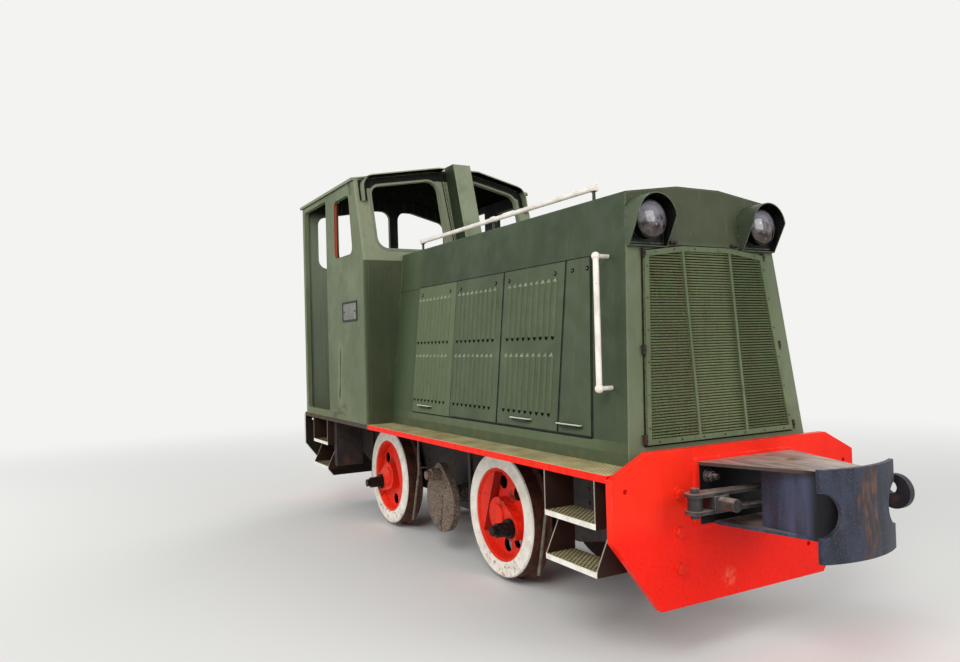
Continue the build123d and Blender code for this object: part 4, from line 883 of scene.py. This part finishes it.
def windscreen_x(z):
    """The front face of the cab above its belt line."""
    return belt_x - windscreen_lean * (z - belt_z)


def roof_z(y):
    """The top of the cab roof."""
    past_crown = max(0.0, crown_right - y) / right_run + max(0.0, y - crown_left) / left_run
    return crown_z - crown_drop * past_crown


def side_out(sign):
    """The outward direction of a leaning hood side."""
    return Vector((0, sign, hood_lean)).normalized()


nose_out = Vector((1, 0, nose_lean)).normalized()
windscreen_out = Vector((1, 0, windscreen_lean)).normalized()
print("hood half width at its foot", side_y(hood_foot_z))

# %% [markdown]
# ## Bolts on the headstocks
# Three large bolts on each side hold each headstock to the frame. A hexagon bolt head is a
# six-sided turned shape with a chamfered rim, on a round washer. The paint covers them too. On the
# left of each end the lowest bolt is gone, and its hole stays open, as in the picture.

# %% Headstock bolts
headstock_face, bolt_y = 2.350, 0.446
bolt_rows = ((0.801, (-1, 1)), (0.625, (-1, 1)), (0.452, (-1,)))
# Rows of distance from the face and radius
washer = ((0, 0.033), (0.003, 0.033), (0.004, 0.031))
bolt_head = ((0.004, 0.0255), (0.017, 0.0265), (0.0215, 0.022), (0.0225, 0.012))
bolt_enamel = red_enamel("bolts", "#F02A17", "#DC1F0D", "#A01A0E", 0.50, 0.22, rim_mm=1.5)
for end, sign in ENDS:
    build = bmesh.new()
    for z, sides in bolt_rows:
        for side in sides:
            at = (sign * headstock_face, sign * side * bolt_y, z)
            turned(build, at, (sign, 0, 0), washer, 24)
            # Each head is turned by its own amount
            turned(build, at, (sign, 0, 0), bolt_head, 6, 3.5 * z)
    new_piece(f"{end}_headstock_bolts", build, bolt_enamel, smooth=20)

# %% [markdown]
# ## Weld beads
# The coupler pad is welded to the headstock all round, and the hood is welded to the cab. A hand
# weld is a small fillet that swells and shrinks along its way, so the section of the strip gets a
# little seeded randomness at each point.

# %% Weld beads
chance = random.Random(11)


def bead(radius, spread=0.35):
    """A function for strip that gives a lumpy half-round section."""
    def section(n):
        size = radius * (1 + spread * (chance.random() - 0.5))
        return [(size * math.cos(a), size * math.sin(a) * 0.8) for a in (0, 0.7, 1.57, 2.44, 3.14159)]
    return section


def stepped(corners, pitch, closed=False):
    """Points along straight runs at about a pitch."""
    corners = [Vector(c) for c in corners]
    runs = zip(corners, corners[1:] + corners[:1] if closed else corners[1:])
    points = []
    for start, end in runs:
        count = max(1, round((end - start).length / pitch))
        points += [start.lerp(end, n / count) for n in range(count)]
    return points if closed else points + [corners[-1]]


for end, sign in ENDS:
    build = bmesh.new()
    x = sign * (headstock_face + 0.001)
    pad = [(x, -0.343, 0.627), (x, 0.343, 0.627), (x, 0.343, 0.952), (x, -0.343, 0.952)]
    strip(build, stepped(pad, 0.012, closed=True), (sign, 0, 0), bead(0.005), closed=True)
    new_piece(f"{end}_pad_weld", build, headstock_enamel)

seam_enamel = enamel("seam", "#3E4734", "#566047", "#2A3023", "#6A725C", rim_mm=1, streak=0.6)
for side, sign in SIDES:
    build = bmesh.new()
    line = [(-0.633, sign * (side_y(z) + 0.001), z) for z in (0.985, 2.250)]
    strip(build, stepped(line, 0.014), Vector((1, sign, 0)), bead(0.006, 0.9))
    new_piece(f"cab_seam_{side}", build, seam_enamel)

# %% [markdown]
# ## Ridges of the tread plate
# The steps and boards are chequered plate: low ridges are rolled on in two slanting directions and
# enclose diamonds. Each ridge is a long prism with slanting flanks, cut off at the edges of its
# rectangle, and one function lays both families of them.

# %% Tread plate ridges
ridge_pitch, ridge_wide, ridge_high, ridge_slope = 0.027, 0.0030, 0.0016, 0.80
skin = Surface("tread_plate_ridges", rough=0.7, specular=0.25)
tone = blend(skin.patches(160, 4, 0.3, 0.7), "#3F3624", "#544C36")
tone = blend(skin.patches(20, 3, 0.45, 0.7), tone, "#2C2519")
trodden = blend(skin.patches(120, 4, 0.3, 0.7), "#A89C72", "#857A54")
# Ribs on the boards are trodden pale; the lower ribs on the steps are dark as painted shadow
rib_wear_and_shadow = skin.finish(Base_Color=blend(skin.z.ramp(0.80, 0.85), tone, trodden),
                        Normal=skin.bumps(5, 2, 0.5, 0.5))


def ribs(build, x0, x1, y0, y1, z, pitch=ridge_pitch):
    """Covers a rectangle at a height with two crossing families of ridges."""
    depth = y1 - y0
    for lean in (ridge_slope, -ridge_slope):
        shift = depth * lean
        first = x0 - max(0.0, shift)
        count = int((x1 - x0 + abs(shift)) / pitch)
        for k in range(count):
            foot = first + (k + 0.5) * pitch
            # The part of the depth, from 0 to 1, over which the ridge lies inside the rectangle
            ends = sorted(((x0 - foot) / shift, (x1 - foot) / shift))
            low, high = max(0.0, ends[0]), min(1.0, ends[1])
            if high - low < 0.05:
                continue
            line = [Vector((foot + shift * share, y0 + depth * share, z)) for share in (low, high)]
            section = [(-ridge_wide, -0.0002), (-ridge_wide * 0.4, ridge_high),
                       (ridge_wide * 0.4, ridge_high), (ridge_wide, -0.0002)]
            strip(build, line, (0, 0, 1), section)


deck_z, step_rises = 0.920, (0.688, 0.470)
steps_from_to = {"front_steps": (1.820, 2.230), "cab_steps": (-2.045, -1.635)}
build = bmesh.new()
for sign in (-1, 1):
    low, high = sorted((sign * 0.621, sign * 0.826))
    ribs(build, -0.630, 2.305, low, high, deck_z)
new_piece("running_board_ribs", build, rib_wear_and_shadow, smooth=20)
for name, (rear, front) in steps_from_to.items():
    build = bmesh.new()
    for sign in (-1, 1):
        low, high = sorted((sign * 0.665, sign * 0.828))
        for z in step_rises:
            ribs(build, rear + 0.012, front - 0.012, low, high, z)
    new_piece(f"{name}_ribs", build, rib_wear_and_shadow, smooth=20)
build = bmesh.new()
ribs(build, -2.225, -1.02, -0.785, 0.785, deck_z, 0.045)
new_piece("cab_floor_ribs", build, floor_plate, smooth=20)

# %% [markdown]
# ## Painted shade round the side covers
# Thin black strips on the hood, shaped like the seal each cover closes on, are painted shade: they
# give the dark line between the covers and below them, where they look out by a few millimetres.

# %% Cover gap shade
# Black seal for the grille, and painted shade for the strips round the covers and under the hinge
black_rubber_and_shade = plain_finish("black_rubber_and_painted_shade", ("#10110E", "#262720"), (30, 4, 0.4, 0.7), (4, 2, 0.4, 0.5),
                      rough=0.85, specular=0.2)

cover_low, cover_high, gap_shade_t = 1.037, 1.960, 0.0016
# Places along the hood of the upright strips of painted shade: at the foot and at the top, and half their
# width
upright_gap_shades = ((0.3565, 0.3565, 0.0020), (wide_gaps_x[0], wide_gaps_x[0], 0.0050),
                 (wide_gaps_x[1], wide_gaps_x[1], 0.0030), (1.9375, 1.8515, 0.0050))
# Ends and height of the level strips of painted shade, and half their width
level_gap_shades = ((-0.261, 1.931, cover_low - 0.003, 0.0055), (-0.258, 1.849, cover_high + 0.003, 0.0035),
               (-0.632, -0.262, cover_high - 0.002, 0.0012))
runs = [((low_x, cover_low - 0.004), (high_x, cover_high + 0.002), half)
        for low_x, high_x, half in upright_gap_shades]
runs += [((start, z), (end, z), half) for start, end, z, half in level_gap_shades]
for side, sign in SIDES:
    build = bmesh.new()
    out = side_out(sign)
    for start, end, half in runs:
        line = [Vector((x, sign * side_y(z), z)) + out * 0.0003 for x, z in (start, end)]
        strip(build, line, out, flat_strip(half, gap_shade_t))
    new_piece(f"cover_gap_shade_{side}", build, black_rubber_and_shade)

# %% [markdown]
# ## Mouths of the louvres
# A louvre is pressed out of the sheet, and its lower end is left open. Thin dark pieces on the covers
# paint the shade in those mouths without cutting into the sheets. They are cut wider than the ribs
# above them, so each one shows as a small dark heart.

# %% Louvre mouths and cover screws
# One near-black finish: painted shade in the louvre mouths, and the black of the screw washers
skin = Surface("black_washer_and_painted_shade", rough=0.95, specular=0.05)
black_washers_and_shade = skin.finish(Base_Color=blend(skin.grain(12), "#070806", shade_black))

cover_proud, hole_z, hole_inset = 0.0045, 1.902, 0.096
cover_spans = {1: (-0.259, 0.355), 2: (0.358, 0.985), 3: (0.988, 1.634), 4: (1.637, 1.847)}
first_louvre = {1: -0.228, 2: 0.405, 3: 1.062}
louvre_pitch, louvres_in_row, louvre_feet = 0.060, 9, (1.130, 1.550)
heart = ((-0.0150, 0.004), (0.0150, 0.004), (0.0135, -0.006),
         (0.004, -0.016), (-0.004, -0.016), (-0.0135, -0.006))


def on_cover(sign, x, z, off=0.0):
    """A place on the outer face of a cover, which leans with the hood."""
    return Vector((x, sign * side_y(z), z)) + side_out(sign) * (cover_proud + off)


def up_cover(sign):
    """The upward direction in the plane of a leaning cover."""
    return side_out(sign).cross(Vector((1, 0, 0)) * sign).normalized()


print("up a cover", up_cover(-1), up_cover(1))
for side, sign in SIDES:
    out = side_out(sign)
    for number, (rear, front) in cover_spans.items():
        cover = f"{side}_cover_{number}"
        if number in first_louvre:
            build = bmesh.new()
            for n in range(louvres_in_row):
                for z in louvre_feet:
                    x = first_louvre[number] + n * louvre_pitch
                    plate(build, [on_cover(sign, x + dx, z + dz) for dx, dz in heart], out * 0.0005)
            new_piece(f"{cover}_louvre_mouth_shade", build, black_washers_and_shade, cover)
        build, pads = bmesh.new(), bmesh.new()
        for x in (rear + 0.062, front - 0.018 if number == 4 else front - hole_inset):
            at = on_cover(sign, x, hole_z)
            turned(pads, at, out, ((0, 0.0130), (0.0012, 0.0130), (0.0016, 0.0120)), 20)
            turned(build, at, out, ((0.0012, 0.0046), (0.0036, 0.0044), (0.0046, 0.0030)), 12)
        new_piece(f"{cover}_screw_washers", pads, black_washers_and_shade, cover)
        new_piece(f"{cover}_screws", build, zinc, cover)
    # A painted blank fills the hole that cover 4 has no screw in
    build = bmesh.new()
    turned(build, on_cover(sign, front - hole_inset, hole_z), out,
           ((-0.0038, 0.0078), (-0.0002, 0.0078), (-0.0002, 0.0098), (0.0005, 0.0094)), 24)
    new_piece(f"{cover}_blank", build, cover_enamel, cover)

# %% [markdown]
# ## Grille frame
# The grille is held by small screws all round its frame and by clips that hook over its edge from
# the front sheet. A dark line of rubber shows round the frame.

# %% Grille screws, clips and seal
grille_outline = ((0.511, 1.016), (0.421, 1.959), (0.166, 1.990),
                  (-0.166, 1.990), (-0.421, 1.959), (-0.511, 1.016))


def on_nose(y, z, off=0.0):
    """A place ahead of the front sheet, which leans back."""
    return Vector((nose_x(z), y, z)) + nose_out * off


build = bmesh.new()
edge = [Vector((0, y, z)) for y, z in grille_outline]
middle = Vector((0, 0, 1.5))
outer = [on_nose(p.y * 1.010, (p.z - 1.5) * 1.010 + 1.5, 0.0015) for p in edge]
strip(build, outer, nose_out, [(-0.005, 0), (-0.004, 0.003), (0.004, 0.003), (0.005, 0)], closed=True)
new_piece("grille_seal", build, black_rubber_and_shade)

build = bmesh.new()
grille_proud, screw_inset = 0.020, 0.013
for start, end in zip(edge, edge[1:] + edge[:1]):
    inward = (middle - (start + end) / 2).normalized()
    count = max(1, round((end - start).length / 0.150))
    for n in range(count):
        spot = start.lerp(end, (n + 0.5) / count) + inward * screw_inset
        turned(build, on_nose(spot.y, spot.z, grille_proud), nose_out,
               ((-0.001, 0.0060), (0.0016, 0.0056), (0.0030, 0.0036)), 10)
new_piece("grille_screws", build, lamp_enamel)

build = bmesh.new()
clips = [(sign * y, z, along) for sign in (-1, 1)
         for y, z, along in ((0.219, 2.008, 0), (0.424, 1.950, 1), (0.477, 1.471, 1), (0.520, 1.043, 1))]
for y, z, upright in clips:
    long_way = Vector((0, 0, 1)) if upright else Vector((0, 1, 0))
    wide_way = long_way.cross(nose_out).normalized()
    at = on_nose(y, z)
    box = [at + long_way * a * 0.024 + wide_way * b * 0.007 for a, b in ((-1, -1), (1, -1), (1, 1), (-1, 1))]
    plate(build, box, nose_out * 0.022)
    turned(build, at + nose_out * 0.022, nose_out, ((0, 0.0065), (0.005, 0.006), (0.007, 0.003)), 6)
new_piece("grille_clips", build, frame_paint)

# %% [markdown]
# ## Window frames
# Each front window sits in a flat frame that is screwed to the wall and stands a few millimetres
# proud. The frame follows the opening at an even width, so one function offsets the outline of the
# opening outward. The rear windows have the same frames.

# %% Window frames
window_r, frame_wide = 0.085, 0.0208
front_windows, rear_windows = ((-0.688, -0.074), (0.210, 0.690)), ((-0.690, 0.066), (0.154, 0.690))


def opening(right, left, sill, drop, grow):
    """The corners of a window opening as y and z, grown outward all round."""
    right, left, sill, drop = right - grow, left + grow, sill - grow, drop - grow
    corners = [(right, sill), (left, sill), (left, roof_z(left) - drop)]
    corners += [(kink, roof_z(kink) - drop) for kink in (crown_left, crown_right)
                if right + 0.05 < kink < left - 0.05]
    return [*corners, (right, roof_z(right) - drop)]


def on_windscreen(point):
    return Vector((windscreen_x(point.z), point.y, point.z))


def on_rear_wall(point):
    return Vector((rear_wall_x, point.y, point.z))


frame_enamel = enamel("window_frames", "#787E6A", "#858B75", "#4C543F", "#B3BAA0", rim_mm=2)
for name, windows, sill, drop, place, out in (
        ("windscreen_frames", front_windows, 2.316, 0.100, on_windscreen, windscreen_out),
        ("rear_window_frames", rear_windows, 2.310, 0.130, on_rear_wall, Vector((-1, 0, 0)))):
    build = bmesh.new()
    for right, left in windows:
        inner, outer = (
            rounded_outline([Vector((0, y, z)) for y, z in opening(right, left, sill, drop, grow)],
                            window_r + grow, 8) for grow in (0.001, frame_wide))
        frame_ring(build, inner, outer, place, out, 0.005)
    new_piece(name, build, frame_enamel)

build = bmesh.new()
side_window = ((-1.318, 2.288), (-0.863, 2.288), (-0.940, 2.787), (-1.318, 2.787))
for side, sign in SIDES:
    corners = [Vector((x, 0, z)) for x, z in side_window]
    path = [p + Vector((0, sign * (cab_side_y + 0.0005), 0)) for p in rounded_outline(corners, 0.060, 8)]
    strip(build, path, (0, sign, 0), [(-0.004, -0.004), (-0.004, 0.002), (0.004, 0.002), (0.004, -0.004)],
          closed=True)
new_piece("side_window_beads", build, cab_enamel)

# %% [markdown]
# ## Hinge beside the windscreen
# A long piano hinge runs down the wall between the right window and the duct. It is a row of
# knuckles on one pin, so short turned barrels follow each other along the line of the wall.

# %% Piano hinge
build = bmesh.new()
hinge_top, hinge_low = Vector((0, -0.012, 2.935)), Vector((0, 0.006, 2.400))
line = [on_windscreen(hinge_low), on_windscreen(hinge_top)]
along = (line[1] - line[0]).normalized()
knuckles = 13
half = (hinge_top - hinge_low).length / knuckles * 0.46
barrel = ((0, 0.006), (0.001, 0.0075), (2 * half - 0.001, 0.0075), (2 * half, 0.006))
for n in range(knuckles):
    at = on_windscreen(hinge_top.lerp(hinge_low, (n + 0.5) / knuckles)) + windscreen_out * 0.004
    turned(build, at - along * half, along, barrel, 10)
new_piece("windscreen_hinge", build, duct_enamel)
# A thin black strip under the knuckles is painted shade in the gap behind the hinge
build = bmesh.new()
strip(build, line, windscreen_out, flat_strip(0.013, 0.0015))
new_piece("windscreen_hinge_gap", build, black_rubber_and_shade)

# %% [markdown]
# ## Works plate
# A small cast plate is screwed to the right side of the cab. It is left blank: a raised dark rim
# round a sunken grey field, with two screws.

# %% Works plate
build, field = bmesh.new(), bmesh.new()
plate_x, plate_z, plate_half_x, plate_half_z = -0.970, 1.8235, 0.158, 0.0665
outside, inside = (rounded_outline([
    Vector((plate_x + a * (plate_half_x + rim), 0, plate_z + b * (plate_half_z + rim)))
    for a, b in ((-1, -1), (1, -1), (1, 1), (-1, 1))], 0.014 - rim / 2, 5) for rim in (0.016, 0.0))


def on_cab_side(point):
    return Vector((point.x, -cab_side_y, point.z))


frame_ring(build, outside, inside, on_cab_side, Vector((0, -1, 0)), 0.006)
plate(field, [on_cab_side(p) for p in outside], (0, -0.003, 0))
for x in (-1.100, -0.840):
    turned(build, (x, -cab_side_y - 0.003, 1.823), (0, -1, 0),
           ((0, 0.009), (0.003, 0.008), (0.005, 0.004)), 12)
cast_plate = plain_finish("cast_aluminium_plate", ("#7C8079", "#6A6E66"), (90, 2, 0.3, 0.7), (3, 2, 0.2, 0.4),
                          rough=0.5, metal=0.6)
new_piece("works_plate_rim", build, frame_paint)
new_piece("works_plate_field", field, cast_plate)

# %% [markdown]
# ## Wire handles
# Each handle on a side cover is a bent wire. The rod in the solid model gives it its place and is
# painted dark as its own shadow, and a thin pale wire in front of it gives the round section, its
# pale colour a painted highlight along the top.

# %% Wire handles
handle_z, handle_half, wire_r = 1.0885, 0.100, 0.0036
handle_x = {1: -0.030, 2: 0.620, 3: 1.276, 4: 1.748}
pale_wire_highlight = plain_finish("pale_wire_painted_highlight", ("#DCE0D2", "#B4B9A8"), (16, 3, 0.35, 0.7), (5, 2, 0.4, 0.3),
                         rough=0.45, specular=0.4)
bend = ((-1.0, 0.0), (-1.0, 0.019), (-0.96, 0.0235), (0.96, 0.0235), (1.0, 0.019), (1.0, 0.0))
ring = [(wire_r * math.cos(k * math.tau / 8), wire_r * math.sin(k * math.tau / 8)) for k in range(8)]
for side, sign in SIDES:
    for number, x in handle_x.items():
        # The picture shows no bright wire on the second cover on the right
        if side == "right" and number == 2:
            continue
        build = bmesh.new()
        path = [on_cover(sign, x + handle_half * a, handle_z, off) for a, off in bend]
        strip(build, path, up_cover(sign), ring)
        cover = f"{side}_cover_{number}"
        new_piece(f"{cover}_wire_handle", build, pale_wire_highlight, cover)

# %% [markdown]
# ## Rivets of the headlamps and clamps of the roof rails
# The visors are riveted to the front sheet through a flange, and the roof rails are held to their
# posts by small round clamps.

# %% Lamp rivets and rail clamps
build = bmesh.new()
flange_r = 0.132
for sign in (-1, 1):
    for n in range(9):
        turn = math.radians(-20 + n * 27.5)
        y, z = sign * lamp_y + flange_r * math.cos(turn), lamp_z + flange_r * math.sin(turn)
        turned(build, on_nose(y, z), nose_out, ((-0.002, 0.0050), (0.0012, 0.0048), (0.0030, 0.0030)), 10)
new_piece("lamp_rivets", build, nose_enamel)

build = bmesh.new()
rail_y, rail_z = 0.455, 2.331
clamp = ((-0.019, 0.016), (-0.014, 0.0215), (0.014, 0.0215), (0.019, 0.016))
for sign in (-1, 1):
    for x in (-0.333, 0.747, 1.804):
        turned(build, (x, sign * rail_y, rail_z), (1, 0, 0), clamp, 18)
new_piece("rail_clamps", build, rail_enamel)

# %% [markdown]
# ## Bolts inside the coupler boxes
# The coupler is bolted to the headstock as well as welded. Two nuts on long studs show inside the
# box, under the top plate.

# %% Coupler studs
build = bmesh.new()
pad_face, stud_y, stud_z = 2.362, 0.262, 0.868
for sign in (-1, 1):
    for side in (-1, 1):
        at = (sign * pad_face, side * stud_y, stud_z)
        turned(build, at, (sign, 0, 0), ((0, 0.034), (0.005, 0.034), (0.006, 0.032)), 24)
        turned(build, at, (sign, 0, 0), ((0.006, 0.026), (0.030, 0.027), (0.034, 0.023)), 6)
        turned(build, at, (sign, 0, 0), ((0.034, 0.015), (0.058, 0.015), (0.061, 0.012)), 16)
new_piece("coupler_studs", build, link_iron)

# %% [markdown]
# ## Gutter hook
# A short strip of steel is bent round the front end of the rain gutter on each side of the cab.

# %% Gutter hooks
build = bmesh.new()
bend = ((-1.010, 2.884), (-0.962, 2.880), (-0.925, 2.866), (-0.900, 2.840), (-0.889, 2.806), (-0.884, 2.772))
for sign in (-1, 1):
    path = [Vector((x, sign * (cab_side_y + 0.0002), z)) for x, z in bend]
    strip(build, path, (0, sign, 0), flat_strip(0.008, 0.009))
new_piece("gutter_hooks", build, duct_enamel)

# %% [markdown]
# ## Rivets of the frame
# The frame plates are riveted to the stretchers and to an angle bar below the deck, so rows of
# round heads run along them.

# %% Frame rivets
build = bmesh.new()
frame_face, rivet_profile = 0.315, ((-0.001, 0.0115), (0.003, 0.0110), (0.0065, 0.0080), (0.0085, 0.0035))
stretcher_x = (-2.150, -1.600, -0.620, 0.360, 1.500, 2.100)
for sign in (-1, 1):
    places = [(-2.26 + 0.094 * n, 0.858) for n in range(49)]
    places += [(x, z) for x in stretcher_x for z in (0.600, 0.680, 0.760)]
    places += [(x, 0.400) for x in (-0.52, -0.42, -0.32, -0.22, 0.12, 0.22, 0.32)]
    for x, z in places:
        turned(build, (x, sign * frame_face, z), (0, sign, 0), rivet_profile, 10)
new_piece("frame_rivets", build, frame_paint)
